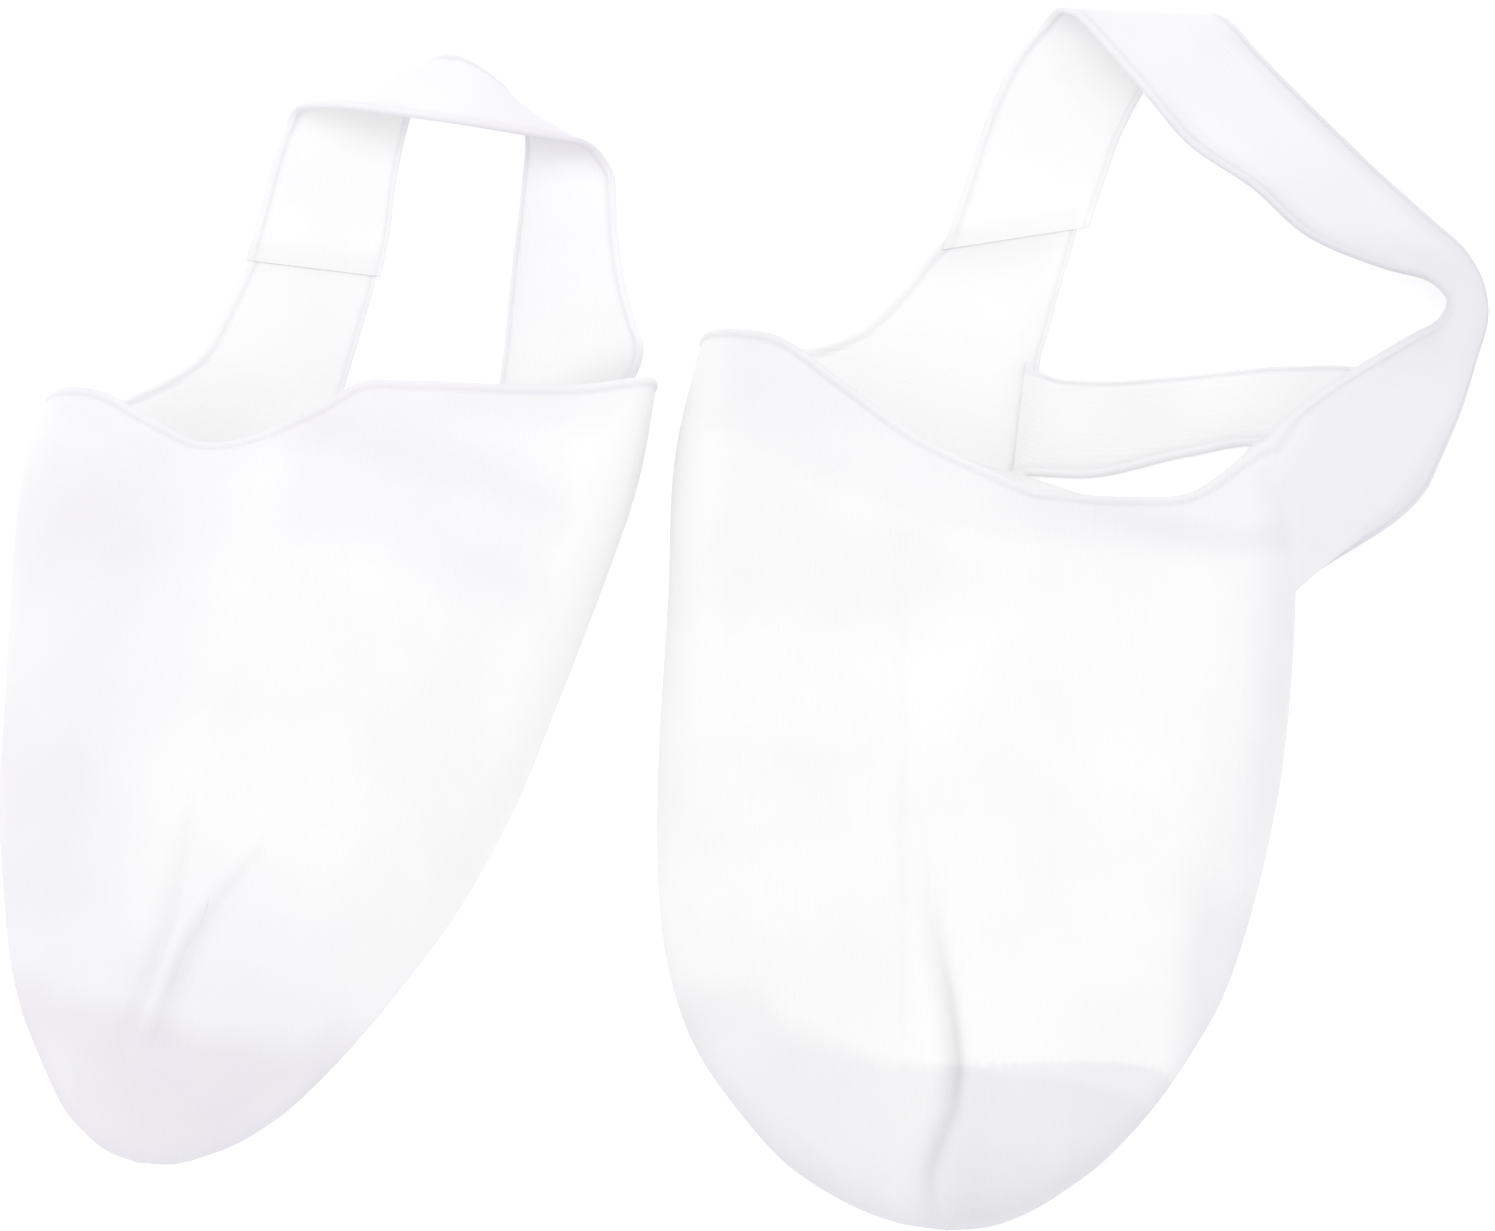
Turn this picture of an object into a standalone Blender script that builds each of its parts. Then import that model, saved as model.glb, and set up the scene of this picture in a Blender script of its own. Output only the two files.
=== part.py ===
# Pair of slingback toe-cover socks lying sole down, toes toward -Y, ground at Z = 0.
# Sizes are in millimetres and are turned into metres when a piece is made.

import math

import bmesh
import bpy
import numpy as np

WALL = 1.0          # thickness of the knit
HALF = WALL / 2     # height of the middle of a layer that lies on the ground
SEAM_GAP = 0.3      # space between two pieces that are sewn together
FULLNESS = 0.85     # below 1 makes the top of a section rounder at its sides
UNDER = 0.8         # share of a half section that lies above the widest line

VAMP_ROWS = 22      # steps from toe to hem
VAMP_COLUMNS = 30   # steps round a section
RIBBON_STEP = 4.0   # length of one step along a sling or wing
RIBBON_COLUMNS = 4  # steps across a sling or band
WING_COLUMNS = 6    # steps across a wing

# Pouch sections from the toe tip to the hem of the foot opening.
# left_u, left_v and right_u, right_v: ends of the section's widest line.
# crown_u, crown_v, crown_z: its top. belly_z: height of the widest line.
# tuck: how far the vamp turns in underneath.
LEFT_FOOT_SECTIONS = [
    dict(left_u=0.0, left_v=0.0, right_u=0.0, right_v=0.0, crown_u=0, crown_v=34.0, crown_z=25.2, belly_z=7.0, tuck=3.0),
    dict(left_u=-6.5, left_v=0.6, right_u=6.0, right_v=0.9, crown_u=0, crown_v=34.3, crown_z=25.3, belly_z=7.0, tuck=3.2),
    dict(left_u=-12.7, left_v=2.4, right_u=11.6, right_v=3.4, crown_u=0, crown_v=35.0, crown_z=25.4, belly_z=7.2, tuck=3.6),
    dict(left_u=-18.5, left_v=5.2, right_u=16.8, right_v=7.2, crown_u=0, crown_v=36.0, crown_z=25.6, belly_z=7.5, tuck=4.0),
    dict(left_u=-23.8, left_v=8.8, right_u=21.7, right_v=11.6, crown_u=0, crown_v=37.5, crown_z=25.8, belly_z=8.0, tuck=4.4),
    dict(left_u=-30.2, left_v=15.5, right_u=27.5, right_v=19.0, crown_u=0, crown_v=40.0, crown_z=26.2, belly_z=8.3, tuck=4.8),
    dict(left_u=-35.5, left_v=22.5, right_u=32.0, right_v=26.7, crown_u=0, crown_v=43.0, crown_z=26.6, belly_z=8.6, tuck=5.0),
    dict(left_u=-39.0, left_v=29.8, right_u=35.7, right_v=34.5, crown_u=0, crown_v=47.0, crown_z=27.0, belly_z=9.0, tuck=5.0),
    dict(left_u=-41.6, left_v=39.4, right_u=38.4, right_v=44.0, crown_u=0, crown_v=52.0, crown_z=27.5, belly_z=9.0, tuck=5.0),
    dict(left_u=-43.0, left_v=51.0, right_u=40.6, right_v=55.5, crown_u=0, crown_v=60.0, crown_z=28.1, belly_z=9.0, tuck=5.0),
    dict(left_u=-43.7, left_v=66.0, right_u=42.1, right_v=68.0, crown_u=1, crown_v=71.0, crown_z=28.5, belly_z=9.0, tuck=5.0),
    dict(left_u=-43.8, left_v=87.0, right_u=42.6, right_v=81.0, crown_u=3, crown_v=85.0, crown_z=29.0, belly_z=8.5, tuck=5.0),
    dict(left_u=-44.2, left_v=108.0, right_u=42.4, right_v=88.5, crown_u=5, crown_v=94.0, crown_z=29.0, belly_z=8.0, tuck=5.0),
    dict(left_u=-41.6, left_v=126.0, right_u=42.1, right_v=92.0, crown_u=6, crown_v=101.0, crown_z=28.0, belly_z=7.0, tuck=5.0),
]
RIGHT_FOOT_SECTIONS = [
    dict(left_u=0.0, left_v=0.0, right_u=0.0, right_v=0.0, crown_u=2, crown_v=31.0, crown_z=27.4, belly_z=7.5, tuck=3.0),
    dict(left_u=-4.5, left_v=0.6, right_u=5.0, right_v=1.0, crown_u=2, crown_v=31.3, crown_z=27.5, belly_z=7.6, tuck=3.2),
    dict(left_u=-8.1, left_v=2.3, right_u=9.3, right_v=3.3, crown_u=2, crown_v=32.0, crown_z=27.7, belly_z=8.0, tuck=3.6),
    dict(left_u=-11.7, left_v=4.9, right_u=13.4, right_v=6.3, crown_u=2, crown_v=33.2, crown_z=28.0, belly_z=8.5, tuck=4.0),
    dict(left_u=-16.2, left_v=10.4, right_u=18.2, right_v=11.6, crown_u=2, crown_v=35.0, crown_z=28.4, belly_z=9.0, tuck=4.4),
    dict(left_u=-20.6, left_v=16.6, right_u=21.9, right_v=17.4, crown_u=2, crown_v=37.5, crown_z=28.8, belly_z=9.6, tuck=4.8),
    dict(left_u=-23.8, left_v=23.0, right_u=25.4, right_v=24.0, crown_u=2, crown_v=40.5, crown_z=29.3, belly_z=10.2, tuck=5.0),
    dict(left_u=-26.6, left_v=30.5, right_u=28.6, right_v=31.0, crown_u=2, crown_v=44.5, crown_z=29.8, belly_z=10.8, tuck=5.0),
    dict(left_u=-30.8, left_v=43.7, right_u=34.0, right_v=45.0, crown_u=2, crown_v=52.5, crown_z=30.7, belly_z=11.2, tuck=5.0),
    dict(left_u=-33.8, left_v=58.1, right_u=37.8, right_v=61.0, crown_u=2, crown_v=64.0, crown_z=31.5, belly_z=11.2, tuck=5.0),
    dict(left_u=-36.9, left_v=72.7, right_u=39.7, right_v=77.4, crown_u=2, crown_v=79.0, crown_z=32.0, belly_z=11.0, tuck=5.0),
    dict(left_u=-39.4, left_v=86.0, right_u=41.4, right_v=96.0, crown_u=1, crown_v=92.0, crown_z=32.0, belly_z=10.0, tuck=5.0),
    dict(left_u=-40.2, left_v=95.5, right_u=42.2, right_v=112.0, crown_u=0, crown_v=100.0, crown_z=31.0, belly_z=9.0, tuck=5.0),
    dict(left_u=-39.6, left_v=103.0, right_u=41.0, right_v=127.0, crown_u=0, crown_v=107.0, crown_z=30.0, belly_z=8.0, tuck=5.0),
]

# How far the hem lies behind (+) or before (-) the last section, by place round it.
# place: -1 left ground edge, -0.8 left widest line, 0 crown, 0.8 and 1 on the right.
LEFT_FOOT_HEM = [
    dict(place=-1.0, shift=0.0),
    dict(place=-0.8, shift=0.0),
    dict(place=-0.55, shift=1.5),
    dict(place=-0.45, shift=2.5),
    dict(place=-0.30, shift=0.0),
    dict(place=-0.18, shift=-2.0),
    dict(place=-0.08, shift=-1.5),
    dict(place=0.05, shift=0.2),
    dict(place=0.20, shift=3.2),
    dict(place=0.326, shift=7.0),
    dict(place=0.427, shift=13.5),
    dict(place=0.524, shift=19.5),
    dict(place=0.66, shift=12.0),
    dict(place=0.80, shift=3.5),
    dict(place=1.0, shift=0.0),
]
RIGHT_FOOT_HEM = [
    dict(place=-1.0, shift=0.0),
    dict(place=-0.8, shift=0.0),
    dict(place=-0.60, shift=-0.8),
    dict(place=-0.453, shift=-2.5),
    dict(place=-0.315, shift=-6.6),
    dict(place=-0.19, shift=-9.5),
    dict(place=-0.10, shift=-7.0),
    dict(place=-0.03, shift=-3.0),
    dict(place=0.03, shift=0.6),
    dict(place=0.13, shift=-0.3),
    dict(place=0.28, shift=-2.5),
    dict(place=0.457, shift=-3.5),
    dict(place=0.615, shift=-2.0),
    dict(place=0.8, shift=0.0),
    dict(place=1.0, shift=0.0),
]
ROOT_PLACE = 0.524  # the left foot's little-toe wing leaves the vamp from here to place 1

# Rear edge of each sole, from left to right.
LEFT_FOOT_SOLE_REAR = [
    dict(u=-37.8, v=114.2),
    dict(u=2.2, v=109.3),
    dict(u=15.0, v=105.7),
    dict(u=29.0, v=101.0),
    dict(u=35.8, v=91.8),
]
RIGHT_FOOT_SOLE_REAR = [
    dict(u=-33.8, v=94.6),
    dict(u=0.9, v=102.0),
    dict(u=22.2, v=106.9),
    dict(u=35.8, v=109.6),
]

# Rows across a wing, sling or band. top is the edge on the side of the foot opening,
# low the edge on the side of the heel opening.
LEFT_FOOT_BIG_TOE_WING = [
    dict(top=(-37.6, 114.8, 0.5), low=(1.9, 109.9, 0.5)),
    dict(top=(-37.0, 121.0, 0.5), low=(2.2, 115.8, 0.5)),
    dict(top=(-35.2, 125.4, 0.5), low=(2.6, 120.3, 0.5)),
    dict(top=(-31.0, 127.6, 0.5), low=(3.2, 124.4, 0.5)),
    dict(top=(-26.1, 128.4, 0.5), low=(4.3, 128.4, 0.5)),
    dict(top=(-20.6, 131.0, 0.6), low=(6.2, 133.2, 0.6)),
    dict(top=(-15.5, 136.4, 0.8), low=(7.4, 139.4, 0.8)),
    dict(top=(-10.6, 143.4, 1.1), low=(9.0, 147.0, 1.1)),
    dict(top=(-8.2, 146.2, 1.2), low=(9.4, 150.6, 1.2)),
]
LEFT_FOOT_SLING = [
    dict(top=(-9.4, 143.4, 2.6), low=(10.8, 148.0, 2.6)),
    dict(top=(-7.2, 152.0, 2.2), low=(12.5, 154.7, 2.2)),
    dict(top=(-4.2, 164.0, 2.0), low=(14.9, 162.8, 2.2)),
    dict(top=(-0.4, 173.2, 2.0), low=(19.1, 171.3, 2.4)),
    dict(top=(2.4, 176.8, 2.8), low=(23.0, 176.0, 3.0)),
    dict(top=(4.1, 178.2, 5.4), low=(25.9, 178.6, 5.4)),
    dict(top=(6.9, 176.6, 8.4), low=(28.2, 177.6, 7.8)),
    dict(top=(11.2, 171.6, 10.6), low=(30.0, 176.2, 8.0)),
    dict(top=(16.6, 165.8, 11.0), low=(32.4, 174.0, 6.5)),
    dict(top=(24.0, 158.0, 10.4), low=(41.1, 166.8, 3.0)),
    dict(top=(33.1, 152.6, 9.5), low=(50.0, 159.2, 1.4)),
    dict(top=(41.5, 145.8, 9.8), low=(58.4, 152.3, 0.8)),
    dict(top=(52.0, 141.2, 12.5), low=(63.7, 147.6, 0.6)),
    dict(top=(58.6, 138.8, 15.5), low=(66.2, 142.8, 0.6)),
    dict(top=(61.4, 135.8, 17.0), low=(66.8, 138.2, 0.6)),
    dict(top=(60.6, 132.6, 17.2), low=(65.6, 132.2, 0.8)),
]
LEFT_FOOT_LITTLE_TOE_WING = [
    dict(top=(60.3, 132.2, 17.2), low=(65.3, 131.7, 0.9)),
    dict(top=(56.5, 129.8, 17.2), low=(62.9, 125.6, 1.9)),
    dict(top=(50.7, 125.8, 17.2), low=(58.8, 115.4, 2.1)),
    dict(top=(43.4, 120.6, 17.2), low=(52.4, 105.2, 2.1)),
]
LEFT_FOOT_ARCH_BAND = [
    dict(top=(3.7, 124.4, 0.5), low=(2.35, 110.6, 0.5)),
    dict(top=(6.0, 126.6, 0.5), low=(5.0, 111.4, 0.5)),
    dict(top=(11.6, 125.9, 0.5), low=(12.5, 111.6, 0.5)),
    dict(top=(24.7, 127.4, 0.5), low=(26.4, 115.6, 0.5)),
    dict(top=(39.8, 129.8, 0.5), low=(37.6, 117.6, 0.5)),
    dict(top=(50.0, 130.0, 0.5), low=(46.0, 114.0, 0.5)),
    dict(top=(61.2, 125.0, 0.5), low=(54.3, 109.2, 0.5)),
]
RIGHT_FOOT_LITTLE_TOE_WING = [
    dict(top=(-33.5, 95.2, 0.5), low=(0.7, 102.5, 0.5)),
    dict(top=(-33.3, 101.4, 0.5), low=(-0.5, 108.4, 0.5)),
    dict(top=(-31.4, 107.2, 0.5), low=(-1.0, 113.5, 0.5)),
    dict(top=(-26.5, 111.6, 0.5), low=(-1.2, 117.2, 0.5)),
    dict(top=(-22.0, 116.8, 0.6), low=(-1.1, 121.8, 0.6)),
    dict(top=(-20.2, 123.9, 0.8), low=(-1.0, 127.8, 0.8)),
    dict(top=(-18.9, 131.2, 1.1), low=(-1.0, 133.6, 1.1)),
    dict(top=(-18.6, 134.6, 1.2), low=(-1.4, 136.8, 1.2)),
]
RIGHT_FOOT_SLING = [
    dict(top=(-19.2, 131.8, 2.6), low=(-0.4, 134.2, 2.6)),
    dict(top=(-19.2, 139.9, 2.2), low=(-0.8, 140.8, 2.2)),
    dict(top=(-19.2, 147.5, 2.0), low=(-2.0, 150.0, 2.0)),
    dict(top=(-18.8, 151.6, 2.2), low=(-2.2, 158.6, 2.0)),
    dict(top=(-17.6, 154.2, 4.6), low=(-0.9, 166.4, 2.4)),
    dict(top=(-12.7, 154.4, 8.2), low=(1.0, 168.0, 2.6)),
    dict(top=(-4.9, 154.6, 11.0), low=(2.6, 168.2, 1.6)),
    dict(top=(2.8, 155.0, 12.5), low=(4.6, 167.8, 1.0)),
    dict(top=(11.2, 155.9, 12.2), low=(7.0, 166.8, 0.8)),
    dict(top=(18.1, 156.8, 11.0), low=(9.6, 165.2, 0.6)),
    dict(top=(23.8, 157.6, 9.4), low=(12.2, 162.8, 0.6)),
    dict(top=(27.4, 155.2, 8.6), low=(13.9, 159.0, 0.6)),
    dict(top=(29.1, 151.0, 8.6), low=(15.0, 153.0, 0.6)),
    dict(top=(30.9, 145.4, 9.0), low=(16.3, 144.4, 0.6)),
    dict(top=(33.5, 139.3, 9.0), low=(17.5, 136.4, 0.6)),
    dict(top=(36.2, 134.6, 8.4), low=(18.6, 130.0, 0.6)),
]
RIGHT_FOOT_BIG_TOE_WING = [
    dict(top=(36.5, 134.2, 8.3), low=(18.7, 129.5, 0.6)),
    dict(top=(38.2, 131.4, 7.2), low=(19.4, 124.0, 0.5)),
    dict(top=(38.0, 128.8, 4.4), low=(20.0, 119.6, 0.5)),
    dict(top=(35.9, 125.6, 0.9), low=(20.6, 115.8, 0.5)),
    dict(top=(35.7, 118.0, 0.5), low=(21.3, 111.6, 0.5)),
    dict(top=(35.5, 110.2, 0.5), low=(22.2, 107.5, 0.5)),
]
RIGHT_FOOT_ARCH_BAND = [
    dict(top=(-0.7, 117.0, 0.5), low=(0.4, 106.6, 0.5)),
    dict(top=(9.4, 119.6, 0.5), low=(10.6, 108.8, 0.5)),
    dict(top=(19.2, 121.8, 0.5), low=(20.7, 111.4, 0.5)),
]

# Outline of each pad on the sole.
LEFT_FOOT_PAD = dict(left=-24.5, right=27.0, front_left=28.0, front_right=25.5, rear=80.0, corner=9.0)
RIGHT_FOOT_PAD = dict(left=-12.0, right=21.0, front_left=30.0, front_right=33.0, rear=78.0, corner=8.0)
PAD_BASE = WALL + SEAM_GAP  # the pad lies this high, on the sole

# Where each cover's toe tip stands and how far its axis turns from +Y toward +X.
LEFT_FOOT_PLACE = dict(x=27.716, y=-88.792, turn=3.6)
RIGHT_FOOT_PLACE = dict(x=-84.384, y=-78.992, turn=14.65)


def smooth(knots, values, at):
    """Cubic through the values at the knots, read at the given places."""
    knots = np.asarray(knots, float)
    values = np.asarray(values, float)
    slopes = np.gradient(values, knots, axis=0)
    at = np.clip(at, knots[0], knots[-1])
    i = np.clip(np.searchsorted(knots, at, side="right") - 1, 0, len(knots) - 2)
    step = knots[i + 1] - knots[i]
    t = (at - knots[i]) / step
    return (
        (2 * t**3 - 3 * t**2 + 1) * values[i]
        + (t**3 - 2 * t**2 + t) * step * slopes[i]
        + (3 * t**2 - 2 * t**3) * values[i + 1]
        + (t**3 - t**2) * step * slopes[i + 1]
    )


class Pouch:
    """The rounded cover over the toes, as sections from the toe to the hem."""

    def __init__(self, sections, hem):
        self.sections = sections
        self.hem = hem

    def section(self, station):
        """The section at station 0 (toe) to 1 (hem), read from the table."""
        knots = np.linspace(0, 1, len(self.sections))
        return {
            key: float(smooth(knots, [s[key] for s in self.sections], station))
            for key in self.sections[0]
        }

    def point(self, station, place):
        """Middle of the wall at a station and a place round the section."""
        s = self.section(station)
        side = "left" if place < 0 else "right"
        out = np.array([s[side + "_u"], s[side + "_v"]])
        crown = np.array([s["crown_u"], s["crown_v"]])
        reach = abs(place)
        if reach <= UNDER:
            angle = (1 - reach / UNDER) * math.pi / 2
            flat = crown + (out - crown) * math.cos(angle)
            z = s["belly_z"] + (s["crown_z"] - s["belly_z"]) * math.sin(angle) ** FULLNESS
        else:
            angle = (1 - reach) / (1 - UNDER) * math.pi / 2
            inward = (crown - out) / np.linalg.norm(crown - out)
            flat = out + inward * s["tuck"] * (1 - math.sin(angle))
            z = HALF + (s["belly_z"] - HALF) * (1 - math.cos(angle))
        share = max(0.0, (station - 0.72) / 0.28) ** 2
        shift = float(smooth([h["place"] for h in self.hem], [h["shift"] for h in self.hem], place))
        return np.array([flat[0], flat[1] + share * shift, z])

    def stations(self):
        """Stations of the vamp's rows, closer together at the toe."""
        return [(i / VAMP_ROWS) for i in range(VAMP_ROWS + 1)]

    def places(self):
        """Places round a section, from the left ground edge over the crown to the right."""
        under = [-1.0, -0.95, -0.9, -0.85]
        n = VAMP_COLUMNS - 2 * len(under)
        upper = [UNDER * (2 * i / n - 1) for i in range(n + 1)]
        return under + upper + [-p for p in reversed(under)]

    def vamp(self):
        """Grid of points over the whole vamp."""
        return [[self.point(s, p) for p in self.places()] for s in self.stations()]

    def ground_edge(self, side, inset):
        """The vamp's ground edge from toe to hem, moved inward by the inset."""
        line = []
        for station in self.stations():
            s = self.section(station)
            edge = self.point(station, side)
            inward = np.array([s["crown_u"], s["crown_v"]]) - edge[:2]
            inward = inward / np.linalg.norm(inward)
            line.append(edge[:2] + inward * inset)
        return line


def ribbon(rows, columns, step=RIBBON_STEP):
    """Grid of points through rows of straight lines from a top edge to a low edge."""
    tops = np.array([r["top"] for r in rows], float)
    lows = np.array([r["low"] for r in rows], float)
    jumps = (np.linalg.norm(np.diff(tops, axis=0), axis=1) + np.linalg.norm(np.diff(lows, axis=0), axis=1)) / 2
    knots = np.concatenate([[0], np.cumsum(jumps)])
    at = [0.0]
    for i, jump in enumerate(jumps):
        n = max(1, math.ceil(jump / step))
        at += [knots[i] + jump * (k + 1) / n for k in range(n)]
    grid = []
    for a in at:
        top = smooth(knots, tops, a)
        low = smooth(knots, lows, a)
        grid.append([top + (low - top) * j / columns for j in range(columns + 1)])
    return grid


def wing_from_vamp(pouch, rows, columns):
    """Grid for the wing that leaves the vamp's side wall, first row on the root."""
    free = ribbon(rows, columns)
    places = [ROOT_PLACE + (1 - ROOT_PLACE) * j / columns for j in range(columns + 1)]
    root = [pouch.point(1.0, p) for p in places]
    last = free[-1]
    blend = []
    for share in (0.3, 0.6, 0.85):
        blend.append([last[j] + (root[j] - last[j]) * share for j in range(columns + 1)])
    away = [(last[j] - root[j]) / np.linalg.norm(last[j] - root[j]) for j in range(columns + 1)]
    end = [root[j] + away[j] * (SEAM_GAP + 0.7) for j in range(columns + 1)]
    return free + blend + [end]


def set_down(point, place):
    """A cover's own point, in mm, moved to its place on the ground, in metres."""
    a = math.radians(place["turn"])
    x = place["x"] + point[0] * math.cos(a) + point[1] * math.sin(a)
    y = place["y"] - point[0] * math.sin(a) + point[1] * math.cos(a)
    return (x / 1000, y / 1000, point[2] / 1000)


def add_piece(name, points, faces, material):
    """Adds one closed mesh piece."""
    mesh = bpy.data.meshes.new(name)
    mesh.from_pydata([tuple(p) for p in points], [], faces)
    mesh.materials.append(material)
    piece = bpy.data.objects.new(name, mesh)
    bpy.context.scene.collection.objects.link(piece)
    bm = bmesh.new()
    bm.from_mesh(mesh)
    bmesh.ops.recalc_face_normals(bm, faces=bm.faces)
    bm.to_mesh(mesh)
    bm.free()
    return piece


def cloth(name, grid, place, material):
    """A wall of the knit's thickness along a grid of points on its middle."""
    sheet = bmesh.new()
    corners = [[sheet.verts.new(set_down(p, place)) for p in row] for row in grid]
    for upper, lower in zip(corners, corners[1:]):
        for j in range(len(upper) - 1):
            sheet.faces.new((upper[j], upper[j + 1], lower[j + 1], lower[j]))
    bmesh.ops.remove_doubles(sheet, verts=sheet.verts, dist=1e-6)
    bmesh.ops.recalc_face_normals(sheet, faces=sheet.faces)
    sheet.normal_update()
    sheet.verts.index_update()
    out = [v.co + v.normal * (HALF / 1000) for v in sheet.verts]
    inn = [v.co - v.normal * (HALF / 1000) for v in sheet.verts]
    for point in out + inn:
        point.z = max(point.z, 0.0)
    n = len(out)
    faces = []
    for f in sheet.faces:
        ids = [v.index for v in f.verts]
        faces.append(ids)
        faces.append([n + i for i in reversed(ids)])
    for e in sheet.edges:
        if len(e.link_faces) == 1:
            a, b = e.link_loops[0].vert.index, e.link_loops[0].link_loop_next.vert.index
            faces.append([b, a, n + a, n + b])
    sheet.free()
    return add_piece(name, out + inn, faces, material)


def flat_plate(name, outline, base, place, material):
    """A flat layer of the knit's thickness inside an outline."""
    n = len(outline)
    low = [set_down((p[0], p[1], base), place) for p in outline]
    top = [set_down((p[0], p[1], base + WALL), place) for p in outline]
    faces = [list(range(n)), [n + i for i in reversed(range(n))]]
    faces += [[i, (i + 1) % n, n + (i + 1) % n, n + i] for i in range(n)]
    return add_piece(name, low + top, faces, material)


def sole_outline(pouch, rear):
    """The sole's edge: inside the vamp's ground edge, then the rear line."""
    left = [p for p in pouch.ground_edge(-1, SEAM_GAP + 0.15) if p[1] < rear[0]["v"] - 1.5]
    right = [p for p in pouch.ground_edge(1, SEAM_GAP + 0.15) if p[1] < rear[-1]["v"] - 1.5]
    back = [np.array([r["u"], r["v"]]) for r in reversed(rear)]
    return left[1:][::-1] + [left[0]] + right[1:] + back


def pad_outline(pad):
    """The pad's edge: a straight front and rounded corners."""
    corners = [
        (pad["left"], pad["front_left"], 180),
        (pad["right"], pad["front_right"], 270),
        (pad["right"], pad["rear"], 0),
        (pad["left"], pad["rear"], 90),
    ]
    r = pad["corner"]
    line = []
    for u, v, start in corners:
        cu = u + r if u == pad["left"] else u - r
        cv = v - r if v == pad["rear"] else v + r
        for k in range(6):
            a = math.radians(start + 18 * k)
            line.append((cu + r * math.cos(a), cv + r * math.sin(a)))
    return line


def make_material(name, colour):
    """A plain material in the colour of the cloth."""
    material = bpy.data.materials.new(name)
    material.use_nodes = True
    shader = material.node_tree.nodes["Principled BSDF"]
    shader.inputs["Base Color"].default_value = colour
    shader.inputs["Roughness"].default_value = 0.9
    return material


def build():
    """Makes both covers."""
    for old in list(bpy.data.objects):
        bpy.data.objects.remove(old)
    knit = make_material("white_knit", (0.88, 0.88, 0.91, 1))
    pad = make_material("white_pad", (0.92, 0.92, 0.92, 1))

    left = Pouch(LEFT_FOOT_SECTIONS, LEFT_FOOT_HEM)
    here = LEFT_FOOT_PLACE
    cloth("left_vamp", left.vamp(), here, knit)
    flat_plate("left_sole", sole_outline(left, LEFT_FOOT_SOLE_REAR), 0, here, knit)
    cloth("left_big_toe_wing", ribbon(LEFT_FOOT_BIG_TOE_WING, WING_COLUMNS), here, knit)
    cloth("left_little_toe_wing", wing_from_vamp(left, LEFT_FOOT_LITTLE_TOE_WING, WING_COLUMNS), here, knit)
    cloth("left_sling", ribbon(LEFT_FOOT_SLING, RIBBON_COLUMNS, 2.5), here, knit)
    cloth("left_arch_band", ribbon(LEFT_FOOT_ARCH_BAND, RIBBON_COLUMNS), here, knit)
    flat_plate("left_pad", pad_outline(LEFT_FOOT_PAD), PAD_BASE, here, pad)

    right = Pouch(RIGHT_FOOT_SECTIONS, RIGHT_FOOT_HEM)
    here = RIGHT_FOOT_PLACE
    cloth("right_vamp", right.vamp(), here, knit)
    flat_plate("right_sole", sole_outline(right, RIGHT_FOOT_SOLE_REAR), 0, here, knit)
    cloth("right_big_toe_wing", ribbon(RIGHT_FOOT_BIG_TOE_WING, WING_COLUMNS), here, knit)
    cloth("right_little_toe_wing", ribbon(RIGHT_FOOT_LITTLE_TOE_WING, WING_COLUMNS), here, knit)
    cloth("right_sling", ribbon(RIGHT_FOOT_SLING, RIBBON_COLUMNS, 2.5), here, knit)
    cloth("right_arch_band", ribbon(RIGHT_FOOT_ARCH_BAND, RIBBON_COLUMNS), here, knit)
    flat_plate("right_pad", pad_outline(RIGHT_FOOT_PAD), PAD_BASE, here, pad)


build()
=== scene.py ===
"""Dressed scene of a pair of slingback toe-cover socks in fine white knit.

The covers lie sole down on a pale floor with their toes toward -Y. Every shape is
worked out in a cover's own frame, in millimetres: u across, v from the toe tip to
the heel, z up. Each cover is then set down in its place.
"""

from __future__ import annotations

import logging
import math
from dataclasses import dataclass, field
from enum import Enum
from typing import Sequence

import bpy
import numpy as np
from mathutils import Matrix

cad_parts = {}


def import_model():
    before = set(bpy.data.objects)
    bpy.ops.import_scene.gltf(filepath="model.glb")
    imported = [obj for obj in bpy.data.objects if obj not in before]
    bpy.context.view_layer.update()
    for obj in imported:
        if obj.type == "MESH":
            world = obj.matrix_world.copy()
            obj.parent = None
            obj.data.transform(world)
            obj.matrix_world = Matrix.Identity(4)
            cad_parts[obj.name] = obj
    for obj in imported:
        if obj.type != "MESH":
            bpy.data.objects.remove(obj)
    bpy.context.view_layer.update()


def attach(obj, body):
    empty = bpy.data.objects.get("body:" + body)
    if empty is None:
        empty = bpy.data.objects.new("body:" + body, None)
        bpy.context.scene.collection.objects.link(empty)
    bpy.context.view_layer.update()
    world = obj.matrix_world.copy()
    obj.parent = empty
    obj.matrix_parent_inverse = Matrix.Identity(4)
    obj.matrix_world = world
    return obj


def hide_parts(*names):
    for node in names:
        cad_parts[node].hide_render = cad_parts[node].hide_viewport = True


LOG = logging.getLogger("toe_covers")

HALF_WALL = 0.32      # half the thickness of one knitted layer, mm
UNDER = 0.8           # share of a half section that lies above the widest line
FULLNESS = 0.85       # below 1 makes the top of a section rounder at its sides
ROOT_PLACE = 0.524    # the left foot's little-toe wing leaves the vamp from here
GROUND = 0.5          # height of the middle of a layer that lies on the floor, mm
SEWN_DOWN = 1.02      # how far a sling's lapped end is drawn down onto the wing, mm
WELD = 0.002          # grid points nearer than this become one, mm
WELD_SHIFT = 0.137    # keeps round coordinates off the weld's rounding steps
NECK = 1.12           # the stitches beside a roll lie this many roll widths from the edge
FLAT = 1.7            # the knit is at its full thickness from this many roll widths on
RIM_REACH = 2.3       # an edge's finish ends this many roll widths from the edge
ROLL_STEPS = (0.0, 0.07, 0.22, 0.5, 0.78, 0.96, NECK, 1.3, FLAT, RIM_REACH)
STITCH_WIDTH = 0.22   # half width of the painted shadow line in the groove of stitches beside a roll, mm
RIM_WIDTH = 0.16      # half width of the painted shade line at the very edge, mm
ROLL_EVENS = 0.2      # share by which a roll hides the painted shade of the knit
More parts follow.
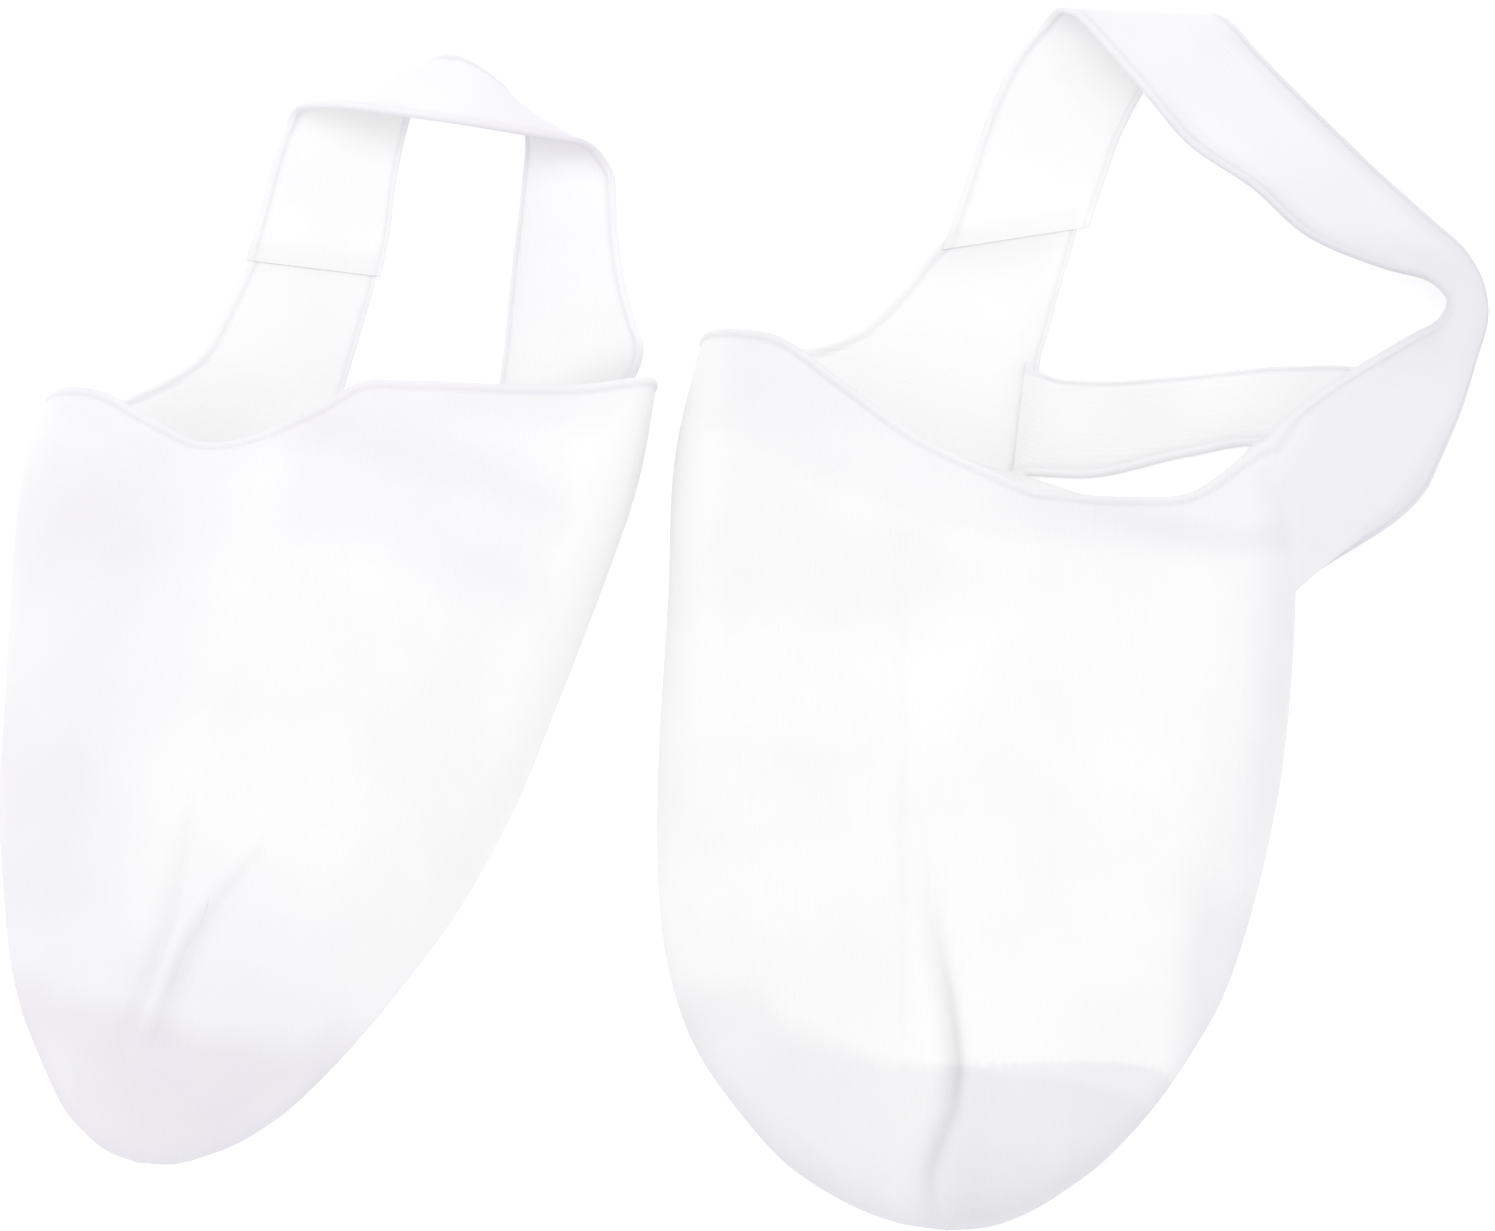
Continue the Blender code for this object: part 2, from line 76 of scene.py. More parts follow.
ROLL_SHADE = 0.12      # painted shade on the roll itself, so that it looks no brighter than the knit
STITCH_GROOVE_SHADE = 0.3     # how dark the painted shadow in the stitches' groove is
HEM_FROM = 0.72       # the hem's own shape is felt from this station of the pouch on,
HEM_SPAN = 0.28       # over this share of its length
CLOTH_PER_DROP = 0.75  # mm of cloth for each mm that a pouch's wall drops below its crown
TINY = 1e-12          # lengths below this count as none


@dataclass(frozen=True)
class Place:
    """Where a cover's toe tip stands, in mm, and its turn from +Y toward +X in degrees."""

    x: float
    y: float
    turn: float

    def set_down(self, points: np.ndarray) -> np.ndarray:
        """Moves points of the cover to the floor frame.

        Args:
            points: N x 3 points in mm in the cover's own frame.

        Returns:
            N x 3 points in metres.
        """
        a = math.radians(self.turn)
        x = self.x + points[:, 0] * math.cos(a) + points[:, 1] * math.sin(a)
        y = self.y - points[:, 0] * math.sin(a) + points[:, 1] * math.cos(a)
        return np.stack([x, y, points[:, 2]], axis=1) / 1000.0


@dataclass(frozen=True)
class Section:
    """One section of a pouch, in mm: its widest line on each side as (u, v), and its crown.

    belly_z is the height of the widest line, and tuck how far the cloth turns under from it.
    """

    left: tuple[float, float]
    right: tuple[float, float]
    crown: tuple[float, float, float]
    belly_z: float
    tuck: float


@dataclass(frozen=True)
class HemPoint:
    """How far the hem lies behind (+) or before (-) the last section at a place."""

    place: float
    shift: float


@dataclass(frozen=True)
class Row:
    """A straight line across a strap, from the foot-opening edge to the heel-opening edge."""

    top: tuple[float, float, float]
    low: tuple[float, float, float]


LEFT_FOOT_SECTIONS = (
    Section(left=(0, 0), right=(0, 0), crown=(0, 34, 25.2), belly_z=7, tuck=3),
    Section(left=(-6.5, 0.6), right=(6, 0.9), crown=(0, 34.3, 25.3), belly_z=7, tuck=3.2),
    Section(left=(-12.7, 2.4), right=(11.6, 3.4), crown=(0, 35, 25.4), belly_z=7.2, tuck=3.6),
    Section(left=(-18.5, 5.2), right=(16.8, 7.2), crown=(0, 36, 25.6), belly_z=7.5, tuck=4),
    Section(left=(-23.8, 8.8), right=(21.7, 11.6), crown=(0, 37.5, 25.8), belly_z=8, tuck=4.4),
    Section(left=(-30.2, 15.5), right=(27.5, 19), crown=(0, 40, 26.2), belly_z=8.3, tuck=4.8),
    Section(left=(-35.5, 22.5), right=(32, 26.7), crown=(0, 43, 26.6), belly_z=8.6, tuck=5),
    Section(left=(-39, 29.8), right=(35.7, 34.5), crown=(0, 47, 27), belly_z=9, tuck=5),
    Section(left=(-41.6, 39.4), right=(38.4, 44), crown=(0, 52, 27.5), belly_z=9, tuck=5),
    Section(left=(-43, 51), right=(40.6, 55.5), crown=(0, 60, 28.1), belly_z=9, tuck=5),
    Section(left=(-43.7, 66), right=(42.1, 68), crown=(1, 71, 28.5), belly_z=9, tuck=5),
    Section(left=(-43.8, 87), right=(42.6, 81), crown=(3, 85, 29), belly_z=8.5, tuck=5),
    Section(left=(-44.2, 108), right=(42.4, 88.5), crown=(5, 94, 29), belly_z=8, tuck=5),
    Section(left=(-41.6, 126), right=(42.1, 92), crown=(6, 101, 28), belly_z=7, tuck=5),
)
LEFT_FOOT_HEM = (
    HemPoint(place=-1, shift=0),
    HemPoint(place=-0.8, shift=0),
    HemPoint(place=-0.55, shift=1.5),
    HemPoint(place=-0.45, shift=2.5),
    HemPoint(place=-0.3, shift=0),
    HemPoint(place=-0.18, shift=-2),
    HemPoint(place=-0.08, shift=-1.5),
    HemPoint(place=0.05, shift=0.2),
    HemPoint(place=0.2, shift=3.2),
    HemPoint(place=0.326, shift=7),
    HemPoint(place=0.427, shift=13.5),
    HemPoint(place=0.524, shift=19.5),
    HemPoint(place=0.66, shift=12),
    HemPoint(place=0.8, shift=3.5),
    HemPoint(place=1, shift=0),
)
LEFT_FOOT_SOLE_REAR = (
    (-37.8, 114.2),
    (2.2, 109.3),
    (15, 105.7),
    (29, 101),
    (35.8, 91.8),
)
RIGHT_FOOT_SECTIONS = (
    Section(left=(0, 0), right=(0, 0), crown=(2, 31, 27.4), belly_z=7.5, tuck=3),
    Section(left=(-4.5, 0.6), right=(5, 1), crown=(2, 31.3, 27.5), belly_z=7.6, tuck=3.2),
    Section(left=(-8.1, 2.3), right=(9.3, 3.3), crown=(2, 32, 27.7), belly_z=8, tuck=3.6),
    Section(left=(-11.7, 4.9), right=(13.4, 6.3), crown=(2, 33.2, 28), belly_z=8.5, tuck=4),
    Section(left=(-16.2, 10.4), right=(18.2, 11.6), crown=(2, 35, 28.4), belly_z=9, tuck=4.4),
    Section(left=(-20.6, 16.6), right=(21.9, 17.4), crown=(2, 37.5, 28.8), belly_z=9.6, tuck=4.8),
    Section(left=(-23.8, 23), right=(25.4, 24), crown=(2, 40.5, 29.3), belly_z=10.2, tuck=5),
    Section(left=(-26.6, 30.5), right=(28.6, 31), crown=(2, 44.5, 29.8), belly_z=10.8, tuck=5),
    Section(left=(-30.8, 43.7), right=(34, 45), crown=(2, 52.5, 30.7), belly_z=11.2, tuck=5),
    Section(left=(-33.8, 58.1), right=(37.8, 61), crown=(2, 64, 31.5), belly_z=11.2, tuck=5),
    Section(left=(-36.9, 72.7), right=(39.7, 77.4), crown=(2, 79, 32), belly_z=11, tuck=5),
    Section(left=(-39.4, 86), right=(41.4, 96), crown=(1, 92, 32), belly_z=10, tuck=5),
    Section(left=(-40.2, 95.5), right=(42.2, 112), crown=(0, 100, 31), belly_z=9, tuck=5),
    Section(left=(-39.6, 103), right=(41, 127), crown=(0, 107, 30), belly_z=8, tuck=5),
)
RIGHT_FOOT_HEM = (
    HemPoint(place=-1, shift=0),
    HemPoint(place=-0.8, shift=0),
    HemPoint(place=-0.6, shift=-0.8),
    HemPoint(place=-0.453, shift=-2.5),
    HemPoint(place=-0.315, shift=-6.6),
    HemPoint(place=-0.19, shift=-9.5),
    HemPoint(place=-0.1, shift=-7),
    HemPoint(place=-0.03, shift=-3),
    HemPoint(place=0.03, shift=0.6),
    HemPoint(place=0.13, shift=-0.3),
    HemPoint(place=0.28, shift=-2.5),
    HemPoint(place=0.457, shift=-3.5),
    HemPoint(place=0.615, shift=-2),
    HemPoint(place=0.8, shift=0),
    HemPoint(place=1, shift=0),
)
RIGHT_FOOT_SOLE_REAR = (
    (-33.8, 94.6),
    (0.9, 102),
    (22.2, 106.9),
    (35.8, 109.6),
)
LEFT_FOOT_BIG_TOE_WING = (
    Row(top=(-37.6, 114.8, 0.5), low=(1.9, 109.9, 0.5)),
    Row(top=(-37, 121, 0.5), low=(4.2, 115.8, 0.5)),
    Row(top=(-35.2, 125.4, 0.5), low=(4.9, 120.3, 0.5)),
    Row(top=(-31, 127.6, 0.5), low=(5.2, 124.4, 0.5)),
    Row(top=(-26.1, 128.4, 0.5), low=(5.2, 128.4, 0.5)),
    Row(top=(-20.6, 131, 0.6), low=(6.2, 133.2, 0.6)),
    Row(top=(-15.5, 136.4, 0.8), low=(7.4, 139.4, 0.8)),
    Row(top=(-10.6, 143.4, 1.1), low=(9, 147, 1.1)),
    Row(top=(-8.2, 146.2, 1.2), low=(9.4, 150.6, 1.2)),
)
LEFT_FOOT_SLING = (
    Row(top=(-9.4, 143.4, 2.6), low=(10.8, 148, 2.6)),
    Row(top=(-7.2, 152, 2.2), low=(12.5, 154.7, 2.2)),
    Row(top=(-4.2, 164, 2), low=(14.9, 162.8, 2.2)),
    Row(top=(-0.4, 173.2, 2), low=(19.1, 171.3, 2.4)),
    Row(top=(2.4, 176.8, 2.8), low=(23, 176, 3)),
    Row(top=(4.1, 178.2, 5.4), low=(25.9, 178.6, 5.4)),
    Row(top=(6.9, 176.6, 8.4), low=(28.2, 177.6, 7.8)),
    Row(top=(11.2, 171.6, 10.6), low=(30, 176.2, 8)),
    Row(top=(16.6, 165.8, 11), low=(32.4, 174, 6.5)),
    Row(top=(24, 158, 10.4), low=(41.1, 166.8, 3)),
    Row(top=(33.1, 152.6, 9.5), low=(50, 159.2, 1.4)),
    Row(top=(41.5, 145.8, 9.8), low=(58.4, 152.3, 0.8)),
    Row(top=(52, 141.2, 12.5), low=(63.7, 147.6, 0.6)),
    Row(top=(58.6, 138.8, 15.5), low=(66.2, 142.8, 0.6)),
    Row(top=(61.4, 135.8, 17), low=(66.8, 138.2, 0.6)),
    Row(top=(60.6, 132.6, 17.2), low=(65.6, 132.2, 0.8)),
)
LEFT_FOOT_LITTLE_TOE_WING = (
    Row(top=(60.3, 132.2, 17.2), low=(65.6, 131.4, 0.9)),
    Row(top=(56.5, 129.8, 17.2), low=(64.0, 124.5, 1.9)),
    Row(top=(50.7, 125.8, 17.2), low=(60.5, 113.8, 2.1)),
    Row(top=(43.4, 120.6, 17.2), low=(54.4, 103.0, 2.1)),
)
LEFT_FOOT_ARCH_BAND = (
    Row(top=(3.2, 128, 0.5), low=(2.35, 110.6, 0.5)),
    Row(top=(4.2, 126.9, 0.5), low=(3.6, 111, 0.5)),
    Row(top=(6, 126.3, 0.5), low=(5.6, 111.3, 0.5)),
    Row(top=(11.6, 125.9, 0.5), low=(12.5, 111.6, 0.5)),
    Row(top=(24.7, 127.4, 0.5), low=(26.4, 115.6, 0.5)),
    Row(top=(39.8, 129.8, 0.5), low=(37.6, 117.6, 0.5)),
    Row(top=(50, 130, 0.5), low=(46, 114, 0.5)),
    Row(top=(61.2, 125, 0.5), low=(54.3, 109.2, 0.5)),
)
RIGHT_FOOT_LITTLE_TOE_WING = (
    Row(top=(-33.5, 95.2, 0.5), low=(0.7, 102.5, 0.5)),
    Row(top=(-33.3, 101.4, 0.5), low=(-0.5, 108.4, 0.5)),
    Row(top=(-31.4, 107.2, 0.5), low=(-1, 113.5, 0.5)),
    Row(top=(-26.5, 111.6, 0.5), low=(-1.2, 117.2, 0.5)),
    Row(top=(-22, 116.8, 0.6), low=(-1.1, 121.8, 0.6)),
    Row(top=(-20.2, 123.9, 0.8), low=(-1, 127.8, 0.8)),
    Row(top=(-18.9, 131.2, 1.1), low=(-1, 133.6, 1.1)),
    Row(top=(-18.6, 134.6, 1.2), low=(-1.4, 136.8, 1.2)),
)
RIGHT_FOOT_SLING = (
    Row(top=(-19.2, 131.8, 2.6), low=(-0.4, 134.2, 2.6)),
    Row(top=(-19.2, 139.9, 2.2), low=(-0.8, 140.8, 2.2)),
    Row(top=(-19.2, 147.5, 2), low=(-2, 150, 2)),
    Row(top=(-18.8, 151.6, 2.2), low=(-2.2, 158.6, 2)),
    Row(top=(-17.6, 154.2, 4.6), low=(-0.9, 166.4, 2.4)),
    Row(top=(-12.7, 154.4, 8.2), low=(1, 168, 2.6)),
    Row(top=(-4.9, 154.6, 11), low=(2.6, 168.2, 1.6)),
    Row(top=(2.8, 155, 12.5), low=(4.6, 167.8, 1)),
    Row(top=(11.2, 155.9, 12.2), low=(7, 166.8, 0.8)),
    Row(top=(18.1, 156.8, 11), low=(9.6, 165.2, 0.6)),
    Row(top=(23.8, 157.6, 9.4), low=(12.2, 162.8, 0.6)),
    Row(top=(27.4, 155.2, 8.6), low=(13.9, 159, 0.6)),
    Row(top=(29.1, 151, 8.6), low=(15, 153, 0.6)),
    Row(top=(30.9, 145.4, 9), low=(16.3, 144.4, 0.6)),
    Row(top=(33.5, 139.3, 9), low=(17.5, 136.4, 0.6)),
    Row(top=(36.2, 134.6, 8.4), low=(18.6, 130, 0.6)),
)
RIGHT_FOOT_BIG_TOE_WING = (
    Row(top=(36.5, 134.2, 8.3), low=(18.7, 129.5, 0.6)),
    Row(top=(38.2, 131.4, 7.2), low=(19.4, 124, 0.5)),
    Row(top=(38, 128.8, 4.4), low=(20, 119.6, 0.5)),
    Row(top=(35.9, 125.6, 0.9), low=(20.6, 115.8, 0.5)),
    Row(top=(35.7, 118, 0.5), low=(21.3, 111.6, 0.5)),
    Row(top=(35.5, 110.2, 0.5), low=(22.2, 107.5, 0.5)),
)
RIGHT_FOOT_ARCH_BAND = (
    Row(top=(-0.7, 117, 0.5), low=(0.4, 106.6, 0.5)),
    Row(top=(9.4, 119.6, 0.5), low=(10.6, 108.8, 0.5)),
    Row(top=(19.2, 121.8, 0.5), low=(20.7, 111.4, 0.5)),
)

LEFT_FOOT_PLACE = Place(x=27.716, y=-88.792, turn=3.6)
RIGHT_FOOT_PLACE = Place(x=-84.384, y=-78.992, turn=14.65)


def cubic(t: np.ndarray) -> tuple[np.ndarray, np.ndarray, np.ndarray, np.ndarray]:
    """Weights of a cubic's start, slope at the start, end and slope at the end."""
    return 2 * t**3 - 3 * t**2 + 1, t**3 - 2 * t**2 + t, 3 * t**2 - 2 * t**3, t**3 - t**2


def unit(rows: np.ndarray) -> np.ndarray:
    """Scales each row to length 1."""
    return rows / np.maximum(np.linalg.norm(rows, axis=1), TINY)[:, None]


def run_of(line: np.ndarray) -> np.ndarray:
    """Distance along a line to each of its points."""
    return np.concatenate([[0], np.cumsum(np.linalg.norm(np.diff(line, axis=0), axis=1))])


def smooth(knots: Sequence[float], values: Sequence[float], at: np.ndarray) -> np.ndarray:
    """Reads a cubic through values at knots.

    Args:
        knots: Rising places of the values.
        values: One number or one row of numbers for each knot.
        at: Places to read, of any shape for numbers and flat for rows.

    Returns:
        The values at those places.
    """
    knots = np.asarray(knots, float)
    values = np.asarray(values, float)
    slopes = np.gradient(values, knots, axis=0)
    at = np.clip(np.asarray(at, float), knots[0], knots[-1])
    i = np.clip(np.searchsorted(knots, at, side="right") - 1, 0, len(knots) - 2)
    step = knots[i + 1] - knots[i]
    t = (at - knots[i]) / step
    if values.ndim == 2:
        step = step[:, None]
        t = t[:, None]
    start, leave, end, arrive = cubic(t)
    return (
        start * values[i]
        + leave * step * slopes[i]
        + end * values[i + 1]
        + arrive * step * slopes[i + 1]
    )


def ease(low: float, high: float, x: np.ndarray) -> np.ndarray:
    """Rises smoothly from 0 at low to 1 at high."""
    t = np.clip((np.asarray(x, float) - low) / (high - low), 0, 1)
    return t * t * (3 - 2 * t)


def to_line(points: np.ndarray, line: np.ndarray) -> tuple[np.ndarray, np.ndarray]:
    """Finds how far points are from a line of straight steps.

    Args:
        points: N x D points.
        line: M x D corners of the line.

    Returns:
        The distance of each point, and how far along the line it is nearest, from 0 to M - 1.
    """
    best = np.full(len(points), 1e9)
    where = np.zeros(len(points))
    for k in range(len(line) - 1):
        a = line[k]
        d = line[k + 1] - a
        t = np.clip(((points - a) @ d) / max(float(d @ d), TINY), 0, 1)
        away = np.linalg.norm(points - a - t[:, None] * d, axis=1)
        nearer = away < best
        best[nearer] = away[nearer]
        where[nearer] = k + t[nearer]
    return best, where


class Bead(Enum):
    """How an edge of the knit is finished: width of its roll and half its thickness, mm."""

    ROLLED = (1.15, 0.5)
    TURNED = (0.7, 0.4)
    FEATHERED = (0.9, 0.2)

    @property
    def width(self) -> float:
        """Width of the roll."""
        return self.value[0]

    @property
    def half(self) -> float:
        """Half the roll's thickness, or half the edge's own where it is feathered."""
        return self.value[1]

    def steps(self) -> list[float]:
        """Distances from the edge at which the roll needs a line of corners."""
        return [share * self.width for share in ROLL_STEPS]

    def profile(self, away: np.ndarray) -> tuple[np.ndarray, np.ndarray, np.ndarray]:
        """Works out the edge's thickness and tones.

        Args:
            away: Distance from the edge, mm.

        Returns:
            The half thickness, 1 where the roll is and 0 elsewhere, and the painted shadow in the
            groove of stitches beside the roll and the painted shade at the very edge, from 0 to
            1.
        """
        if self is Bead.FEATHERED:
            rise = ease(0.0, self.width, away)
            none = np.zeros_like(away)
            return self.half + (HALF_WALL - self.half) * rise, none, none
        t = away / self.width * 2 - 1
        bulge = self.half * np.sqrt(np.clip(1 - t**2, 0.04, 1))
        roll = np.maximum(bulge, 0.6 * HALF_WALL * (away > 0.5 * self.width))
        neck = HALF_WALL * (0.6 + 0.4 * ease(NECK * self.width, FLAT * self.width, away))
        inside = away < self.width
        # painted shadow in the groove of stitches, and painted shade at the very edge
        groove = np.exp(-(((away - NECK * self.width) / STITCH_WIDTH) ** 2))
        rim = 0.7 * np.exp(-((away / RIM_WIDTH) ** 2))
        return np.where(inside, roll, neck), inside.astype(float), np.maximum(groove, rim)


@dataclass(frozen=True)
class Crease:
    """A crease or dent in the knit.

    Its points are (u, v, depth), all in mm. Each width is that of its slope, and each bulge
    the share of the depth by which the cloth stands up beside it, on the left and on the
    right of the direction in which the points run.
    """

    points: tuple[tuple[float, float, float], ...]
    left_width: float
    right_width: float
    left_bulge: float = 0.0
    right_bulge: float = 0.0

    def sink(self, flat: np.ndarray) -> np.ndarray:
        """How deep the cloth is pressed in at each (u, v), mm."""
        line = np.array([p[:2] for p in self.points], float)
        depth = np.array([p[2] for p in self.points], float)
        away, where = to_line(flat, line)
        k = np.clip(where.astype(int), 0, len(line) - 2)
        run = line[k + 1] - line[k]
        beside = flat - line[k]
        on_left = run[:, 0] * beside[:, 1] - run[:, 1] * beside[:, 0] > 0
        width = np.where(on_left, self.left_width, self.right_width)
        rise = np.where(on_left, self.left_bulge, self.right_bulge)
        here = np.interp(where, np.arange(len(line)), depth)
        valley = np.exp(-((away / width) ** 2))
        bank = np.exp(-(((away - 2.1 * width) / (1.1 * width)) ** 2))
        return here * (valley - rise * bank)


def linearise(colour: str) -> tuple[float, float, float, float]:
    """Turns an sRGB hex colour such as "#f0f0f4" into linear red, green, blue and alpha."""
    out = []
    for k in (1, 3, 5):
        c = int(colour[k : k + 2], 16) / 255
        out.append(c / 12.92 if c <= 0.04045 else ((c + 0.055) / 1.055) ** 2.4)
    return (out[0], out[1], out[2], 1.0)


def add_node(
    tree: bpy.types.NodeTree, kind: str, settings: dict[str, object], links: dict[object, object]
) -> bpy.types.Node:
    """Adds a node with its settings and links.

    Args:
        tree: The node tree.
        kind: Blender's name for the node's type.
        settings: Properties by name, or a socket's value by "in:NAME" or "in:NUMBER".
        links: Output sockets by the name or number of the input they go to.

    Returns:
        The node.
    """
    node = tree.nodes.new(kind)
    for key, value in settings.items():
        if key.startswith("in:"):
            socket = key[3:]
            node.inputs[int(socket) if socket.isdigit() else socket].default_value = value
        else:
            setattr(node, key, value)
    for socket, output in links.items():
        tree.links.new(output, node.inputs[socket])
    return node


def new_material(name: str) -> tuple[bpy.types.Material, bpy.types.NodeTree, bpy.types.Node]:
    """Makes an empty node material and gives it, its tree and its output."""
    material = bpy.data.materials.new(name)
    material.use_nodes = True
    tree = material.node_tree
    tree.nodes.clear()
    return material, tree, tree.nodes.new("ShaderNodeOutputMaterial")


@dataclass(frozen=True)
class KnitFinish:
    """Fine weft knit of white nylon microfibre and a little elastane, off a sock machine.

    To the eye it is a matt, slightly sheer white: light is scattered through one layer, and
    it has a soft bloom where it curves away.
    """

    name: str
    yarn: str = "#f5f5f5"          # the knit's own white, where it is backed and full and no shade is painted
    shaded: str = "#cbcbd3"          # painted shade: the colour the knit is mixed toward where shade is painted on it
    wale_mm: float = 0.78          # distance between two ribs of stitches
    course_mm: float = 0.62        # drawn coarser than the real 0.35 so that it shows
    scatter: float = 0.30          # share of light that is scattered to the far side

    def material(self) -> bpy.types.Material:
        """Builds the node material."""
        material, tree, out = new_material(self.name)
        place = add_node(tree, "ShaderNodeUVMap", {"uv_map": "knit"}, {})
        axes = add_node(tree, "ShaderNodeSeparateXYZ", {}, {0: place.outputs[0]})
        waves = []
        for axis, pitch in ((0, self.wale_mm), (1, self.course_mm)):
            turns = {"operation": "MULTIPLY", "in:1": 2 * math.pi / pitch}
            phase = add_node(tree, "ShaderNodeMath", turns, {0: axes.outputs[axis]})
            wave = {"operation": "COSINE"}
            waves.append(add_node(tree, "ShaderNodeMath", wave, {0: phase.outputs[0]}))
        solid = add_node(tree, "ShaderNodeTexCoord", {}, {}).outputs["Object"]
        fine = {"in:Scale": 1300.0, "in:Detail": 0.0}
        fuzz = add_node(tree, "ShaderNodeTexNoise", fine, {"Vector": solid})
        broad = {"in:Scale": 42.0, "in:Detail": 2.0, "in:Roughness": 0.5}
        drift = add_node(tree, "ShaderNodeTexNoise", broad, {"Vector": solid})
        height = add_node(
            tree,
            "ShaderNodeMath",
            {"operation": "MULTIPLY", "in:1": 0.6},
            {0: waves[0].outputs[0]},
        )
        for source, weight in ((waves[1], 0.15), (fuzz, 0.9)):
            height = add_node(
                tree,
                "ShaderNodeMath",
                {"operation": "MULTIPLY_ADD", "in:1": weight},
                {0: source.outputs[0], 2: height.outputs[0]},
            )
        bump = add_node(
            tree,
            "ShaderNodeBump",
            {"in:Strength": 0.22, "in:Distance": 0.00008},
            {"Height": height.outputs[0]},
        )
        # each point's share of painted shade on the knit, set by the covers
        shade = add_node(tree, "ShaderNodeAttribute", {"attribute_name": "shade"}, {})
        wander = add_node(
            tree,
            "ShaderNodeMapRange",
            {"in:From Min": 0.3, "in:From Max": 0.7, "in:To Min": -0.10, "in:To Max": 0.10},
            {"Value": drift.outputs[0]},
        )
        # darker in the gaps between the ribs: partly the sheer knit, partly painted shade of the
        # ribs' relief
        gap_and_relief_shade = add_node(
            tree,
            "ShaderNodeMapRange",
            {"in:From Min": -0.9, "in:From Max": 1.5, "in:To Min": 0.035, "in:To Max": -0.02},
            {"Value": height.outputs[0]},
        )
        tone = add_node(
            tree,
            "ShaderNodeMath",
            {"operation": "ADD"},
            {0: shade.outputs["Fac"], 1: wander.outputs[0]},
        )
        tone = add_node(
            tree,
            "ShaderNodeMath",
            {"operation": "ADD", "use_clamp": True},
            {0: tone.outputs[0], 1: gap_and_relief_shade.outputs[0]},
        )
        # mixes the yarn's white toward the painted shade colour
        colour = add_node(
            tree,
            "ShaderNodeMix",
            {"data_type": "RGBA", "in:6": linearise(self.yarn), "in:7": linearise(self.shaded)},
            {0: tone.outputs[0]},
        )
        cloth = add_node(
            tree,
            "ShaderNodeBsdfPrincipled",
            {
                "in:Roughness": 0.88,
                "in:IOR": 1.5,
                "in:Specular IOR Level": 0.18,
                "in:Sheen Weight": 0.22,
                "in:Sheen Roughness": 0.45,
            },
            {"Base Color": colour.outputs[2], "Normal": bump.outputs[0]},
        )
        behind = add_node(
            tree,
            "ShaderNodeBsdfTranslucent",
            {},
            {"Color": colour.outputs[2], "Normal": bump.outputs[0]},
        )
        knit = add_node(
            tree,
            "ShaderNodeMixShader",
            {"in:0": self.scatter},
            {1: cloth.outputs[0], 2: behind.outputs[0]},
        )
        tree.links.new(knit.outputs[0], out.inputs[0])
        return material


@dataclass(frozen=True)
class PadFinish:
    """Thin white terry pad: matt, soft and a little brighter than the knit over it."""

    name: str
    pile: str = "#f6f6f6"
    hollow: str = "#e9e9ec"
    loop_mm: float = 1.1           # size of one terry loop

    def material(self) -> bpy.types.Material:
        """Builds the node material."""
        material, tree, out = new_material(self.name)
        solid = add_node(tree, "ShaderNodeTexCoord", {}, {})
        loops = add_node(
            tree,
            "ShaderNodeTexVoronoi",
            {"in:Scale": 1000 / self.loop_mm},
            {"Vector": solid.outputs["Object"]},
        )
        colour = add_node(
            tree,
            "ShaderNodeMix",
            {"data_type": "RGBA", "in:6": linearise(self.pile), "in:7": linearise(self.hollow)},
            {0: loops.outputs["Distance"]},
        )
        bump = add_node(
            tree,
            "ShaderNodeBump",
            {"in:Strength": 0.5, "in:Distance": 0.0002, "invert": True},
            {"Height": loops.outputs["Distance"]},
        )
        terry = add_node(
            tree,
            "ShaderNodeBsdfPrincipled",
            {"in:Roughness": 0.95, "in:Specular IOR Level": 0.1, "in:Sheen Weight": 0.3},
            {"Base Color": colour.outputs[2], "Normal": bump.outputs[0]},
        )
        tree.links.new(terry.outputs[0], out.inputs[0])
        return material


@dataclass(frozen=True)
class FloorFinish:
    """Matt opal acrylic of a photographer's light table, lit from below as for sheer goods.

    It is even and without gloss, and the light from below takes the shadows away.
    """

    name: str
    board: str = "#fdfdfd"
    light: str = "#fdfdff"         # colour of the light from below
    glow: float = 0.34             # its strength, as a share of white

    def material(self) -> bpy.types.Material:
        """Builds the node material."""
        material, tree, out = new_material(self.name)
        board = add_node(
            tree,
            "ShaderNodeBsdfPrincipled",
            {
                "in:Base Color": linearise(self.board),
                "in:Roughness": 1.0,
                "in:Specular IOR Level": 0.0,
                "in:Emission Color": linearise(self.light),
                "in:Emission Strength": self.glow,
            },
            {},
        )
        tree.links.new(board.outputs[0], out.inputs[0])
        return material


